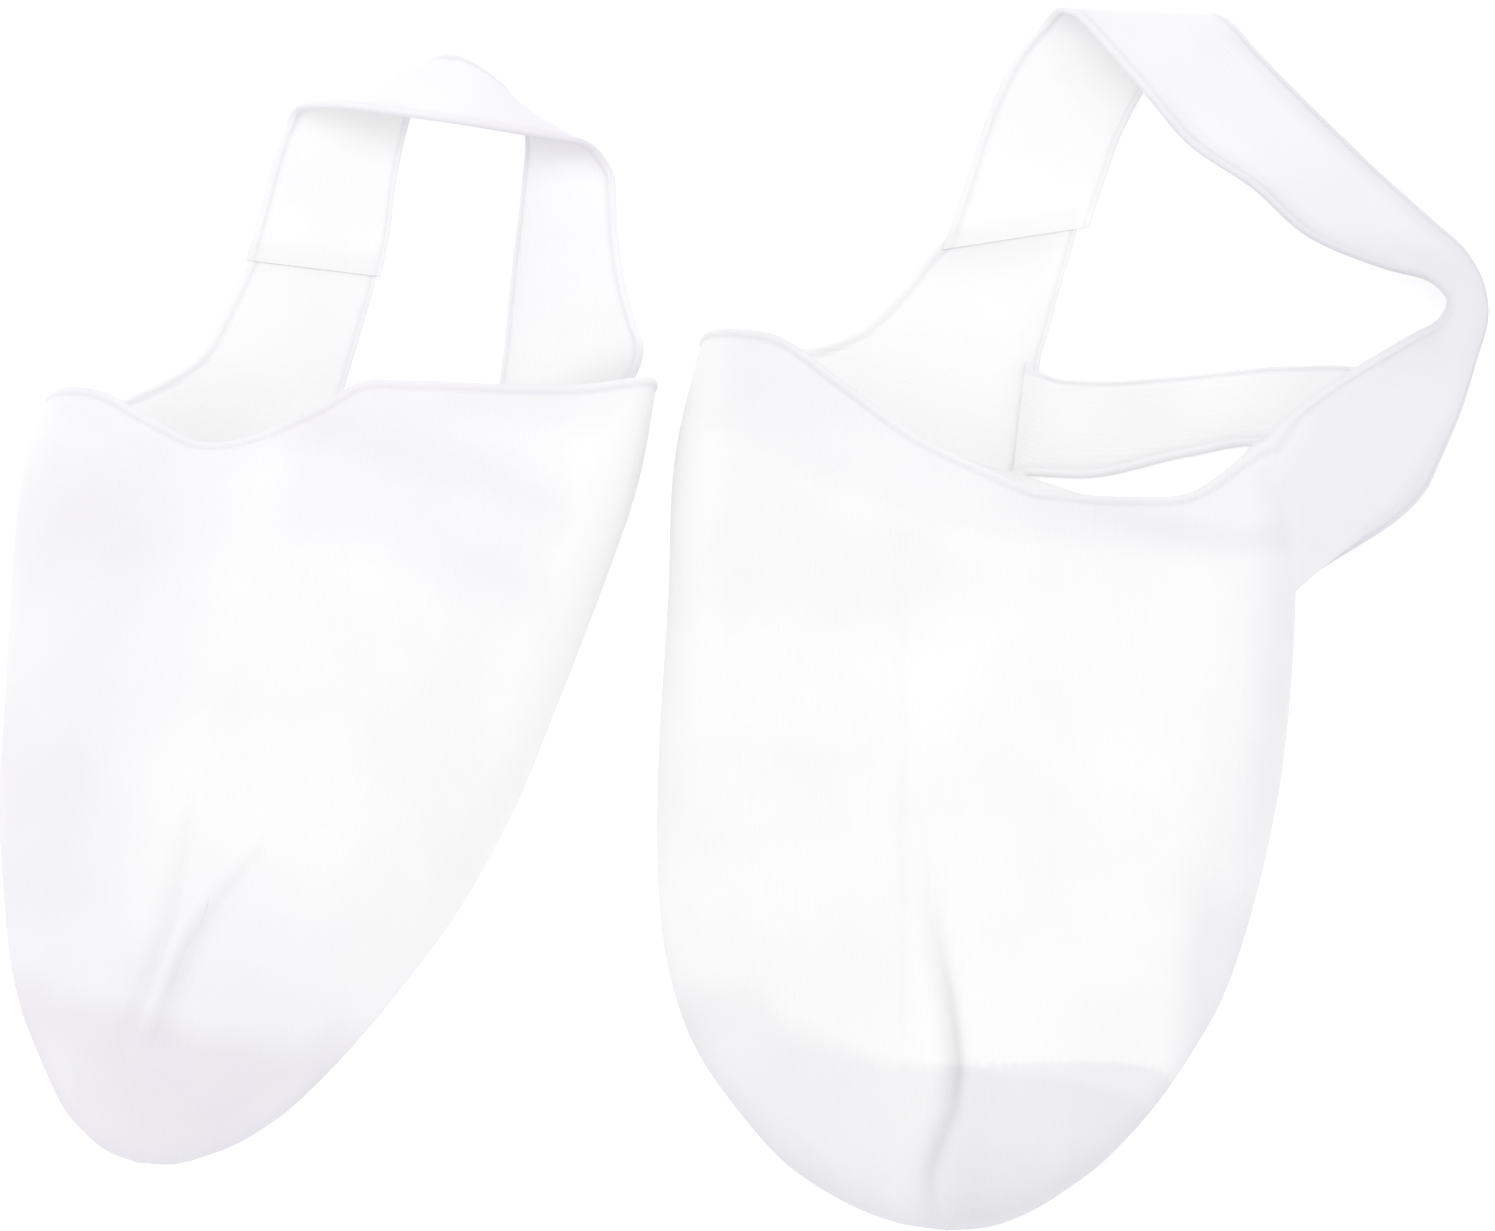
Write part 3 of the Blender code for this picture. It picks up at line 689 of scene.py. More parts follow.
class Cloth:
    """A layer of knit that is gathered from grids of points on its middle."""

    def __init__(self, place: Place) -> None:
        """Starts an empty layer.

        Args:
            place: Where its cover stands.
        """
        self.place = place
        self.points: list[np.ndarray] = []
        self.knit: list[np.ndarray] = []
        self.tones: list[np.ndarray] = []
        self.faces: list[np.ndarray] = []
        self.count = 0
        self.edges: list[tuple[np.ndarray, Bead]] = []
        self.creases: list[Crease] = []
        self.seams: list[tuple[np.ndarray, float]] = []

    def add(self, grid: np.ndarray, knit: np.ndarray, tone: float | np.ndarray = 0.0) -> None:
        """Adds a grid.

        Args:
            grid: Rows x columns x 3 points, mm.
            knit: Rows x columns x 2 distances across and along the ribs of the knit, mm.
            tone: How much painted shade the knit has, all over or at each point.
        """
        rows, columns = grid.shape[:2]
        ids = self.count + np.arange(rows * columns).reshape(rows, columns)
        quads = np.stack([ids[:-1, :-1], ids[:-1, 1:], ids[1:, 1:], ids[1:, :-1]], axis=-1)
        self.points.append(grid.reshape(-1, 3))
        self.knit.append(knit.reshape(-1, 2))
        self.tones.append(np.broadcast_to(tone, (rows, columns)).reshape(-1))
        self.faces.append(quads.reshape(-1, 4))
        self.count += rows * columns

    def edge(self, line: np.ndarray, bead: Bead) -> None:
        """Finishes the edge along a line of points."""
        self.edges.append((line, bead))

    def ease_in(self, line: np.ndarray, reach: float) -> None:
        """Smooths the layer within a reach of a line, where one grid runs into the next."""
        self.seams.append((line, reach))

    def press(self, *creases: Crease) -> None:
        """Adds creases that are pressed into the layer's top side."""
        self.creases.extend(creases)

    def build(self, name: str, material: bpy.types.Material) -> bpy.types.Object:
        """Makes the closed mesh with its thickness, edges and creases.

        Args:
            name: Name of the piece.
            material: Its knit.

        Returns:
            The piece.
        """
        points = np.concatenate(self.points)
        knit = np.concatenate(self.knit)
        faces = np.concatenate(self.faces)
        keys = np.round(points / WELD + WELD_SHIFT).astype(np.int64)
        _, first, joined = np.unique(keys, axis=0, return_index=True, return_inverse=True)
        joined = joined.reshape(-1)
        middle = points[first]
        quads = joined[faces]
        for line, reach in self.seams:
            middle = self.relax(middle, quads, line, reach)
        normals = self.normals(middle, quads)
        top = middle[:, 2] > np.percentile(middle[:, 2], 60)
        if normals[top, 2].mean() < 0:
            normals = -normals
        # At the toe creases sink in toward the heel, further back straight down.
        lean = 1 - ease(0, 30, middle[:, 1])
        inward = np.stack([np.zeros(len(middle)), np.sin(lean), -np.cos(lean)], axis=1)
        upper = ease(0.05, 0.5, normals[:, 2])
        for crease in self.creases:
            middle = middle + inward * (crease.sink(points[first][:, :2]) * upper)[:, None]
        half = np.full(len(middle), HALF_WALL)
        tones = np.concatenate(self.tones)[first]
        for line, bead in self.edges:
            away, _ = to_line(points[first], line)
            near = away < RIM_REACH * bead.width
            thick, roll, stitches = (values[near] for values in bead.profile(away))
            half[near] = thick
            # the roll and the stitches' groove get their painted shade
            kept = tones[near] * (1 - ROLL_EVENS * roll)
            tones[near] = kept + ROLL_SHADE * roll + STITCH_GROOVE_SHADE * stitches
        creased = self.normals(middle, quads)
        normals = creased * np.sign(np.einsum("ij,ij->i", creased, normals))[:, None]
        outer = middle + normals * half[:, None]
        inner = middle - normals * half[:, None]
        return self.mesh(name, material, outer, inner, quads, faces, knit, tones)

    @staticmethod
    def relax(
        points: np.ndarray,
        quads: np.ndarray,
        line: np.ndarray,
        reach: float,
        passes: int = 60,
        pull: float = 0.6,
    ) -> np.ndarray:
        """Averages each point with its neighbours near a line.

        Args:
            points: The layer's points.
            quads: Its faces.
            line: The line.
            reach: How far from the line the averaging fades out, mm.
            passes: How often each point moves toward its neighbours' middle.
            pull: Share of the way that it moves.

        Returns:
            The smoother points.
        """
        pairs = np.concatenate([quads[:, [k, (k + 1) % 4]] for k in range(4)])
        pairs = pairs[pairs[:, 0] != pairs[:, 1]]
        keys = np.sort(pairs, axis=1)
        _, index, uses = np.unique(keys, axis=0, return_index=True, return_counts=True)
        rim = np.zeros(len(points), bool)
        rim[keys[index[uses == 1]].reshape(-1)] = True
        away, _ = to_line(points, line)
        share = np.exp(-((away / reach) ** 2)) * ease(1.0, 7.0, points[:, 2])
        share[rim] = 0
        both = np.concatenate([pairs, pairs[:, ::-1]])
        count = np.maximum(np.bincount(both[:, 0], minlength=len(points)), 1)
        out = points.copy()
        for _ in range(passes):
            sums = [
                np.bincount(both[:, 0], weights=out[both[:, 1], k], minlength=len(points))
                for k in range(3)
            ]
            total = np.stack(sums, axis=1)
            out = out + (total / count[:, None] - out) * (pull * share)[:, None]
        return out

    @staticmethod
    def normals(points: np.ndarray, quads: np.ndarray) -> np.ndarray:
        """Averages the faces' normals at each point."""
        a, b, c, d = (points[quads[:, k]] for k in range(4))
        across = np.cross(c - a, d - b)
        total = np.zeros_like(points)
        for k in range(4):
            np.add.at(total, quads[:, k], across)
        return unit(total)

    def mesh(
        self,
        name: str,
        material: bpy.types.Material,
        outer: np.ndarray,
        inner: np.ndarray,
        quads: np.ndarray,
        faces: np.ndarray,
        knit: np.ndarray,
        looks: np.ndarray,
    ) -> bpy.types.Object:
        """Turns the two sides of the layer into a closed Blender mesh.

        Args:
            name: Name of the piece.
            material: Its knit.
            outer: Points of its outer side, mm.
            inner: Points of its inner side, mm.
            quads: Corners of each face, in the outer side's points.
            faces: Corners of each face, in the grids' points.
            knit: Distances across and along the ribs at the grids' points, mm.
            looks: How much painted shade the knit has at each outer point.

        Returns:
            The piece.
        """
        n = len(outer)
        polygons: list[list[int]] = []
        corners: list[list[int]] = []
        used: dict[tuple[int, int], tuple[int, int, int, int]] = {}
        for quad, face in zip(quads.tolist(), faces.tolist()):
            ring = [(a, f) for k, (a, f) in enumerate(zip(quad, face)) if a != quad[k - 1]]
            if len(ring) < 3:
                continue
            ids = [a for a, _ in ring]
            own = [f for _, f in ring]
            polygons += [ids, [n + a for a in reversed(ids)]]
            corners += [own, own[::-1]]
            for (a, fa), (b, fb) in zip(ring, ring[1:] + ring[:1]):
                if (b, a) in used:
                    del used[(b, a)]
                else:
                    used[(a, b)] = (a, b, fa, fb)
        for a, b, fa, fb in used.values():
            polygons.append([b, a, n + a, n + b])
            corners.append([fb, fa, fa, fb])
        world = self.place.set_down(np.concatenate([outer, inner]))
        world[:, 2] = np.maximum(world[:, 2], 0.0)
        data = bpy.data.meshes.new(name)
        data.from_pydata(world.tolist(), [], polygons)
        flat = np.array([f for own in corners for f in own])
        layer = data.uv_layers.new(name="knit")
        layer.data.foreach_set("uv", knit[flat].astype(np.float32).reshape(-1))
        attribute = data.attributes.new("shade", "FLOAT", "POINT")
        attribute.data.foreach_set("value", np.tile(np.clip(looks, 0, 1), 2).astype(np.float32))
        data.polygons.foreach_set("use_smooth", np.ones(len(polygons), bool))
        data.materials.append(material)
        data.update()
        if self.volume(world, polygons) < 0:
            data.flip_normals()
        piece = bpy.data.objects.new(name, data)
        bpy.context.scene.collection.objects.link(piece)
        return piece

    @staticmethod
    def volume(points: np.ndarray, polygons: list[list[int]]) -> float:
        """Signed volume inside the faces, which is negative where they face inward."""
        fans = [(p[0], p[k], p[k + 1]) for p in polygons for k in range(1, len(p) - 1)]
        tri = points[np.array(fans)]
        return float(np.einsum("ij,ij->", tri[:, 0], np.cross(tri[:, 1], tri[:, 2]))) / 6


def straight(v: float, softness: float) -> tuple[tuple[float, float, float], ...]:
    """A zone's front that runs straight across the cover."""
    return ((-60.0, v, softness), (60.0, v, softness))


@dataclass(frozen=True)
class Zone:
    """An area of a cover that is darker (+) or lighter (-): painted shade, painted light, or
    lighter where a pad lies behind the sheer knit.

    front is its front line as (u, v, softness); sides are its left and right edge and their
    softness; rear is its rear edge and its softness. All are in mm.
    """

    front: tuple[tuple[float, float, float], ...]
    amount: float
    sides: tuple[float, float, float] = (-200.0, 200.0, 1.0)
    rear: tuple[float, float] = (900.0, 1.0)

    def share(self, u: np.ndarray, v: np.ndarray) -> np.ndarray:
        """How far inside the zone each point is, from 0 to 1."""
        at = [p[0] for p in self.front]
        line = np.interp(u, at, [p[1] for p in self.front])
        soft = np.interp(u, at, [p[2] for p in self.front])
        left, right, side_soft = self.sides
        rear, rear_soft = self.rear
        inside = ease(0, 1, (v - line) / soft + 0.5)
        inside = inside * ease(left - side_soft, left + side_soft, u)
        inside = inside * (1 - ease(right - side_soft, right + side_soft, u))
        return inside * (1 - ease(rear - rear_soft, rear + rear_soft, v))


@dataclass
class Shade:
    """Painted shade and painted light on the knit: darker where it turns away from the light,
    lighter on walls that the lamps leave too dark, lighter where the pad lies behind the sheer
    knit, and painted shadows along creases.

    low is the share of painted shade where the knit turns under round the toes, below
    low_height mm.
    """

    base: float = 0.0
    zones: list[Zone] = field(default_factory=list)
    lines: list[tuple[Crease, float]] = field(default_factory=list)
    low: float = 0.0
    low_height: float = 9.0

    def at(self, points: np.ndarray) -> np.ndarray:
        """How much painted shade the knit has at each point; below 0 is painted light."""
        u, v, z = points.T
        # painted shade on the walls round the toes, near the floor
        toe_wall_shade = (1 - ease(4.0, self.low_height, z)) * (1 - ease(18.0, 62.0, v))
        total = self.base + self.low * toe_wall_shade
        for zone in self.zones:
            total = total + zone.amount * zone.share(u, v)
        # darker along lines: painted shadows of creases and folds, and the knit's own faint line
        for crease, amount in self.lines:
            total = total + amount * np.clip(crease.sink(points[:, :2]), 0, 1)
        return total


@dataclass(frozen=True)
class Tone:
    """Painted shade of a strap at a distance along it: at its top, its middle and its low edge.
    """

    along: float
    top: float
    middle: float
    low: float


def tones_of(knit: np.ndarray, tones: Sequence[Tone]) -> np.ndarray:
    """Spreads a strap's tones over its grid.

    Args:
        knit: Rows x columns x 2 distances across and along.
        tones: Tones along the strap, in order.

    Returns:
        Rows x columns tones.
    """
    at = [t.along for t in tones]
    table = [[getattr(t, key) for t in tones] for key in ("top", "middle", "middle", "low")]
    out = np.zeros(knit.shape[:2])
    for k, row in enumerate(knit):
        here = [np.interp(row[0, 1], at, values) for values in table]
        out[k] = np.interp(row[:, 0] / row[-1, 0], [0.0, 0.2, 0.8, 1.0], here)
    return out


class Pouch:
    """The rounded cover over the toes, as sections from the toe to the hem."""

    def __init__(
        self, sections: Sequence[Section], hem: Sequence[HemPoint], flare: float = 0.0
    ) -> None:
        """Keeps the sections and the hem.

        Args:
            sections: Sections from the toe to the hem.
            hem: The hem's shift by place.
            flare: How far the right wall leans out at the hem, above its widest line, mm.
        """
        self.flare = flare
        self.table = {key: [getattr(s, key) for s in sections] for key in ("belly_z", "tuck")}
        for side, axes in {"left": "uv", "right": "uv", "crown": "uvz"}.items():
            for k, axis in enumerate(axes):
                self.table[f"{side}_{axis}"] = [getattr(s, side)[k] for s in sections]
        self.knots = np.linspace(0, 1, len(sections))
        self.hem_places = [h.place for h in hem]
        self.hem_shifts = [h.shift for h in hem]

    def points(self, station: np.ndarray, place: np.ndarray) -> np.ndarray:
        """Middle of the wall.

        Args:
            station: 0 at the toe to 1 at the hem.
            place: -1 at the left ground edge over 0 at the crown to 1 at the right.

        Returns:
            Points of the same shape with 3 numbers each, mm.
        """
        both = (np.asarray(station, float), np.asarray(place, float))
        station, place = np.broadcast_arrays(*both)
        s = {key: smooth(self.knots, values, station) for key, values in self.table.items()}
        left = place < 0
        out_u = np.where(left, s["left_u"], s["right_u"])
        out_v = np.where(left, s["left_v"], s["right_v"])
        reach = np.abs(place)
        over = (1 - np.minimum(reach, UNDER) / UNDER) * math.pi / 2
        u = s["crown_u"] + (out_u - s["crown_u"]) * np.cos(over)
        v = s["crown_v"] + (out_v - s["crown_v"]) * np.cos(over)
        z = s["belly_z"] + (s["crown_z"] - s["belly_z"]) * np.sin(over) ** FULLNESS
        turned = np.clip((1 - reach) / (1 - UNDER), 0, 1) * math.pi / 2
        length = np.maximum(np.hypot(s["crown_u"] - out_u, s["crown_v"] - out_v), 1e-9)
        tuck = s["tuck"] * (1 - np.sin(turned)) / length
        below = reach > UNDER
        u = np.where(below, out_u + (s["crown_u"] - out_u) * tuck, u)
        v = np.where(below, out_v + (s["crown_v"] - out_v) * tuck, v)
        z = np.where(below, GROUND + (s["belly_z"] - GROUND) * (1 - np.cos(turned)), z)
        near_hem = np.clip((station - HEM_FROM) / HEM_SPAN, 0, 1) ** 2
        v = v + near_hem * smooth(self.hem_places, self.hem_shifts, place)
        near_rear = np.clip((station - 0.8) / 0.2, 0, 1) ** 2
        u = u + self.flare * (near_rear * np.exp(-(((place - 0.66) / 0.11) ** 2)))
        return np.stack([u, v, z], axis=-1)

    def knit(self, points: np.ndarray) -> np.ndarray:
        """Distances across and along the ribs, which run from toe to hem and down the sides."""
        u, v, z = points[..., 0], points[..., 1], points[..., 2]
        side = ease(4, 24, np.abs(u))
        drop = np.maximum(0, 27 - z)
        across = u + np.sign(u) * CLOTH_PER_DROP * drop * side
        along = v - CLOTH_PER_DROP * drop * (1 - side)
        return np.stack([across, along], axis=-1)

    def speed(self, place: np.ndarray) -> np.ndarray:
        """Length in mm of one whole station at the hem."""
        ahead = self.points(np.full_like(place, 0.97), place)
        return np.linalg.norm(self.points(np.ones_like(place), place) - ahead, axis=-1) / 0.03

    def vamp(self, places: np.ndarray, rows: int, bead: Bead) -> np.ndarray:
        """Grid over the whole vamp, with close rows at the hem.

        Args:
            places: Places of its columns.
            rows: Rows between the toe and the hem's roll.
            bead: The hem's finish.

        Returns:
            Rows x columns x 3 points, mm.
        """
        speed = self.speed(places)
        steps = bead.steps()
        last = 1 - steps[-1] / speed
        body = [last * i / rows for i in range(rows + 1)]
        roll = [1 - d / speed for d in reversed(steps[:-1])]
        stations = np.array(body + roll)
        return self.points(stations, np.tile(places, (len(stations), 1)))


def spread(width: float, near: Bead, far: Bead, count: int) -> np.ndarray:
    """Places of the columns across a width, close together at both finished edges.

    Args:
        width: Whole width, mm.
        near: Finish of the first edge.
        far: Finish of the last edge.
        count: Steps between the two rolls.

    Returns:
        Distances from the first edge, mm.
    """
    first = near.steps()
    last = [width - d for d in reversed(far.steps())]
    middle = np.linspace(first[-1], last[0], count + 1)[1:-1]
    return np.array(first + list(middle) + last)


def strap(
    rows: Sequence[Row], near: Bead, far: Bead, count: int, step: float
) -> tuple[np.ndarray, np.ndarray]:
    """Grid through the rows of a strap.

    Args:
        rows: Lines across it.
        near: Finish of the edge on the foot-opening side.
        far: Finish of the edge on the heel-opening side.
        count: Steps across between the two rolls.
        step: Length of one step along it, mm.

    Returns:
        The points, and the distances across and along the ribs, mm.
    """
    tops = np.array([r.top for r in rows], float)
    lows = np.array([r.low for r in rows], float)
    jumps = [np.linalg.norm(np.diff(ends, axis=0), axis=1) for ends in (tops, lows)]
    knots = np.concatenate([[0], np.cumsum((jumps[0] + jumps[1]) / 2)])
    at = np.linspace(0, knots[-1], max(2, math.ceil(knots[-1] / step)) + 1)
    at = np.concatenate([Bead.TURNED.steps(), at[at > Bead.TURNED.steps()[-1] + 0.3]])
    top = smooth(knots, tops, at)
    low = smooth(knots, lows, at)
    grid = []
    knit = []
    for k, (a, b) in enumerate(zip(top, low)):
        width = float(np.linalg.norm(b - a))
        across = spread(width, near, far, count)
        grid.append(a + (b - a) * (across / width)[:, None])
        knit.append(np.stack([across, np.full_like(across, at[k])], axis=1))
    return np.array(grid), np.array(knit)


def settle(grid: np.ndarray, knit: np.ndarray) -> np.ndarray:
    """Lets a sling's lapped end lie on the wing below it, and gives the heights."""
    return grid[..., 2] - SEWN_DOWN * (1 - ease(3, 20, knit[..., 1]))


LEFT_FOOT_TOE_CREASE = Crease(
    points=(
        (-5.8, 49.0, 0.0), (-5.1, 44.6, 0.5), (-4.0, 38.3, 1.1), (-2.4, 32.0, 1.6),
        (-1.1, 27.8, 1.8), (0.0, 22.4, 2.0), (0.8, 17.6, 2.0), (0.4, 11.5, 1.7),
        (-1.5, 6.6, 1.5), (-2.4, 3.6, 1.2), (-1.7, 0.9, 0.6),
    ),
    left_width=0.8,
    right_width=1.9,
    right_bulge=0.55,
)
LEFT_FOOT_CREASE_SHADOW = Crease(
    points=(
        (-5.2, 44.6, 0.2), (-4.2, 38.3, 0.6), (-1.4, 27.8, 1.0), (0.4, 17.6, 1.0),
        (0.4, 11.5, 0.9), (-2.4, 3.6, 0.8), (-1.7, 0.9, 0.2),
    ),
    left_width=0.5,
    right_width=2.4,
)
LEFT_FOOT_WING_FOLD = Crease(
    points=(
        (10.0, 98.6, 0.0), (15.6, 97.7, 0.25), (22.7, 96.5, 0.5),
        (28.2, 96.5, 0.7), (35.0, 97.2, 0.8), (41.5, 100.6, 0.7),
        (47.0, 104.0, 0.1),
    ),
    left_width=2.0,
    right_width=2.6,
    left_bulge=0.35,
    right_bulge=0.35,
)
LEFT_FOOT_KNIT_LINE = Crease(
    points=(
        (-12.2, 92.6, 0.5), (-10.4, 69.1, 0.6), (-9.0, 47.3, 0.9),
        (-7.7, 26.3, 0.9), (-6.9, 13.9, 0.2),
    ),
    left_width=0.65,
    right_width=0.65,
)
RIGHT_FOOT_LONG_CREASE = Crease(
    points=(
        (-4.6, 49.0, 0.0), (-4.1, 44.7, 0.6), (-2.8, 37.4, 1.15),
        (-2.4, 31.0, 1.3), (-2.2, 26.5, 1.3), (-2.8, 20.4, 1.2), (-3.7, 14.3, 0.9),
        (-4.1, 8.9, 0.2),
    ),
    left_width=0.8,
    right_width=2.2,
    left_bulge=0.25,
)
RIGHT_FOOT_SHORT_CREASE = Crease(
    points=(
        (9.0, 44.0, 0.0), (7.2, 39.9, 0.5), (3.9, 32.6, 1.1), (1.2, 26.0, 1.3),
        (0.2, 19.1, 1.2), (0.1, 12.4, 0.8), (0.6, 8.4, 0.1),
    ),
    left_width=2.2,
    right_width=0.9,
    right_bulge=0.35,
)
RIGHT_FOOT_CREASE_SHADOW = Crease(
    points=(
        (9.0, 44.0, 0.1), (3.9, 32.6, 0.7), (1.2, 26.0, 0.9), (0.2, 19.1, 0.8),
        (0.3, 10.4, 0.3),
    ),
    left_width=5.0,
    right_width=0.5,
)
# Painted shade along the straps: under the heel flap, where a strap turns away from the light and
# along its rolled edges.
LEFT_FOOT_STRAP_SHADE = (
    Tone(along=0.0, top=0.05, middle=0.00, low=0.04),
    Tone(along=30.0, top=0.16, middle=0.08, low=0.10),
    Tone(along=41.0, top=0.36, middle=0.40, low=0.38),
    Tone(along=50.0, top=0.36, middle=0.42, low=0.66),
    Tone(along=63.0, top=0.70, middle=0.40, low=0.80),
    Tone(along=75.0, top=0.85, middle=0.56, low=0.90),
    Tone(along=85.0, top=0.90, middle=0.64, low=0.95),
    Tone(along=97.0, top=1.00, middle=0.84, low=1.00),
    Tone(along=105.0, top=1.00, middle=0.90, low=1.00),
    Tone(along=116.0, top=0.72, middle=0.74, low=0.95),
    Tone(along=126.0, top=0.54, middle=0.62, low=0.95),
    Tone(along=140.0, top=0.40, middle=0.52, low=0.95),
    Tone(along=155.0, top=0.36, middle=0.50, low=0.95),
)
RIGHT_FOOT_STRAP_SHADE = (
    Tone(along=0.0, top=0.05, middle=0.00, low=0.05),
    Tone(along=12.0, top=0.18, middle=0.14, low=0.14),
    Tone(along=21.0, top=0.10, middle=0.00, low=0.00),
    Tone(along=28.0, top=0.30, middle=0.10, low=0.10),
    Tone(along=37.0, top=0.30, middle=0.24, low=0.20),
    Tone(along=42.0, top=0.30, middle=0.24, low=0.24),
    Tone(along=51.0, top=0.50, middle=0.42, low=0.34),
    Tone(along=60.0, top=0.46, middle=0.38, low=0.34),
    Tone(along=65.0, top=0.10, middle=0.00, low=0.05),
    Tone(along=74.0, top=0.12, middle=0.12, low=0.24),
    Tone(along=80.0, top=0.08, middle=0.12, low=0.26),
    Tone(along=92.0, top=0.06, middle=0.08, low=0.16),
    Tone(along=120.0, top=0.04, middle=0.04, low=0.08),
)
# Painted shade on the wings, most beside the lapped end of the sling.
LEFT_FOOT_WING_SHADE = (
    Tone(along=0.0, top=0.12, middle=0.04, low=0.16),
    Tone(along=26.0, top=0.04, middle=0.00, low=0.10),
    Tone(along=34.0, top=0.02, middle=0.04, low=0.06),
    Tone(along=39.0, top=0.16, middle=0.20, low=0.16),
)
RIGHT_FOOT_WING_SHADE = (
    Tone(along=0.0, top=0.06, middle=0.02, low=0.04),
    Tone(along=28.0, top=0.02, middle=0.00, low=0.02),
    Tone(along=40.0, top=0.10, middle=0.08, low=0.10),
)


@dataclass(frozen=True)
class Cut:
    """The flat size of a piece of cloth before it was sewn: its box and its area, in metres."""

    width: float
    length: float
    area: float


@dataclass
class Cover:
    """What both covers have in common.

    Args:
        side: The wearer's foot, which starts each piece's name.
        place: Where it stands.
        pouch: Its rounded front.
        sole_rear: The rear edge of its sole, from left to right, mm.
        knit: The knit it is made of.
        pile: The pad's cloth.
    """

    side: str
    place: Place
    pouch: Pouch
    sole_rear: Sequence[tuple[float, float]]
    knit: bpy.types.Material
    pile: bpy.types.Material
    lap: float = 2.0               # how far one layer lies over the next at a seam, mm
    sole_length: float = 95.0      # of both soles, roughly, mm
    pad_base: float = 1.2          # height from which the pad's loft is counted, mm
    pad_loft: float = 1.2          # thickness of the pad; its middle layer is drawn, mm

    def sole(self) -> bpy.types.Object:
        """Makes the sole between the vamp's ground edges, lapped on them and on the wings.

        Its rear edge is straight near the toe and takes its own shape toward the rear.
        """
        stations = np.linspace(0, 1, 200)
        sides = []
        for side, end in ((-1.0, self.sole_rear[0]), (1.0, self.sole_rear[-1])):
            ground = self.pouch.points(stations, np.full(200, side))
            sides.append((np.interp(end[1], ground[:, 1], stations), side))
        rear = np.array(self.sole_rear, float)
        along = run_of(rear)
        share = np.linspace(0, 1, 57)
        rear = smooth(along / along[-1], rear, share)
        chord = rear[0] + (rear[-1] - rear[0]) * share[:, None]
        rows = []
        for t in np.linspace(0, 1, 70):
            ends = []
            for last, side in sides:
                p = self.pouch.points(last * t, side)
                crown = self.pouch.points(last * t, 0.0)
                out = p[:2] - crown[:2]
                ends.append(p[:2] + out / np.linalg.norm(out) * self.lap)
            line = ends[0] + (ends[1] - ends[0]) * share[:, None]
            line = line + t**5 * (rear - chord)
            line[:, 1] += t**30 * self.lap    # the last rows lap on the wings
            width = max(float(np.linalg.norm(ends[1] - ends[0])), 1e-6)
            from_sides = np.minimum(share, 1 - share) * width
            from_edge = np.minimum(from_sides, (1 - t) * self.sole_length)
            lift = 1 - ease(self.lap, 2.2 * self.lap, from_edge)
            z = HALF_WALL + 0.06 + (GROUND + 0.36) * lift    # the laps lie on another layer
            rows.append(np.column_stack([line, z]))
        grid = np.array(rows)
        cloth = Cloth(self.place)
        cloth.add(grid, grid[..., :2])
        return cloth.build(f"{self.side}_sole_cloth", self.knit)

    def strip(
        self,
        name: str,
        grid: np.ndarray,
        knit: np.ndarray,
        tones: float | np.ndarray,
        beads: tuple[Bead, Bead],
        start: Bead | None = None,
    ) -> bpy.types.Object:
        """Makes a piece from a strap's grid.

        Args:
            name: Name of the piece.
            grid: Its points.
            knit: Their distances across and along the ribs.
            tones: How much painted shade it has.
            beads: Finish of its edge on the foot-opening side and of the other one.
            start: Finish of its first end, where that is free.

        Returns:
            The piece.
        """
        cloth = Cloth(self.place)
        cloth.add(grid, knit, tones)
        cloth.edge(grid[:, 0], beads[0])
        cloth.edge(grid[:, -1], beads[1])
        if start:
            cloth.edge(grid[0], start)
        return cloth.build(name, self.knit)

    def pad(
        self, left: float, right: float, front: tuple[float, float], rear: float, corner: float
    ) -> None:
        """Makes the terry pad that lies on the sole, attaches it to the root and hides its CAD
        node.

        Args:
            left: Its left edge, mm.
            right: Its right edge.
            front: Where its front edge meets the left and the right.
            rear: Its rear edge.
            corner: Radius of its corners.
        """
        columns = np.linspace(0, 1, 41)
        rows = np.linspace(0, 1, 47)
        grid = np.zeros((len(rows), len(columns), 3))
        half_u = (right - left) / 2
        mid_u = (right + left) / 2
        for i, t in enumerate(rows):
            for j, s in enumerate(columns):
                u = s * 2 - 1
                nose = front[0] + (front[1] - front[0]) * s
                half_v = (rear - nose) / 2
                mid_v = (rear + nose) / 2
                w = t * 2 - 1
                x, y = abs(u) * half_u, abs(w) * half_v
                over_x = max(0.0, x - (half_u - corner))
                over_y = max(0.0, y - (half_v - corner))
                reach = math.hypot(over_x, over_y)
                pull = max(over_x, over_y) / reach if reach > 1e-9 else 1.0
                x = min(x, half_u - corner) + over_x * pull
                y = min(y, half_v - corner) + over_y * pull
                flat = (mid_u + math.copysign(x, u), mid_v + math.copysign(y, w))
                grid[i, j] = (*flat, self.pad_base + self.pad_loft / 2)
        cloth = Cloth(self.place)
        cloth.add(grid, grid[..., :2])
        piece = cloth.build(f"{self.side}_terry_pad", self.pile)
        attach(piece, "root")
        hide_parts(f"{self.side}_pad")
        LOG.info("%s: %d faces", piece.name, len(piece.data.polygons))

    @staticmethod
    def hem_shade(vamp: np.ndarray, left: float, amount: float) -> np.ndarray:
        """Painted shade in a band along the vamp's hem.

        Args:
            vamp: The vamp's grid, whose last row is the hem.
            left: Where along u the painted shade starts, mm.
            amount: How much painted shade it has there.

        Returns:
            The tones at the grid's points.
        """
        points = vamp.reshape(-1, 3)
        away, _ = to_line(points, vamp[-1])
        return amount * (1 - ease(3.5, 8.0, away)) * ease(left, left + 25, points[:, 0])

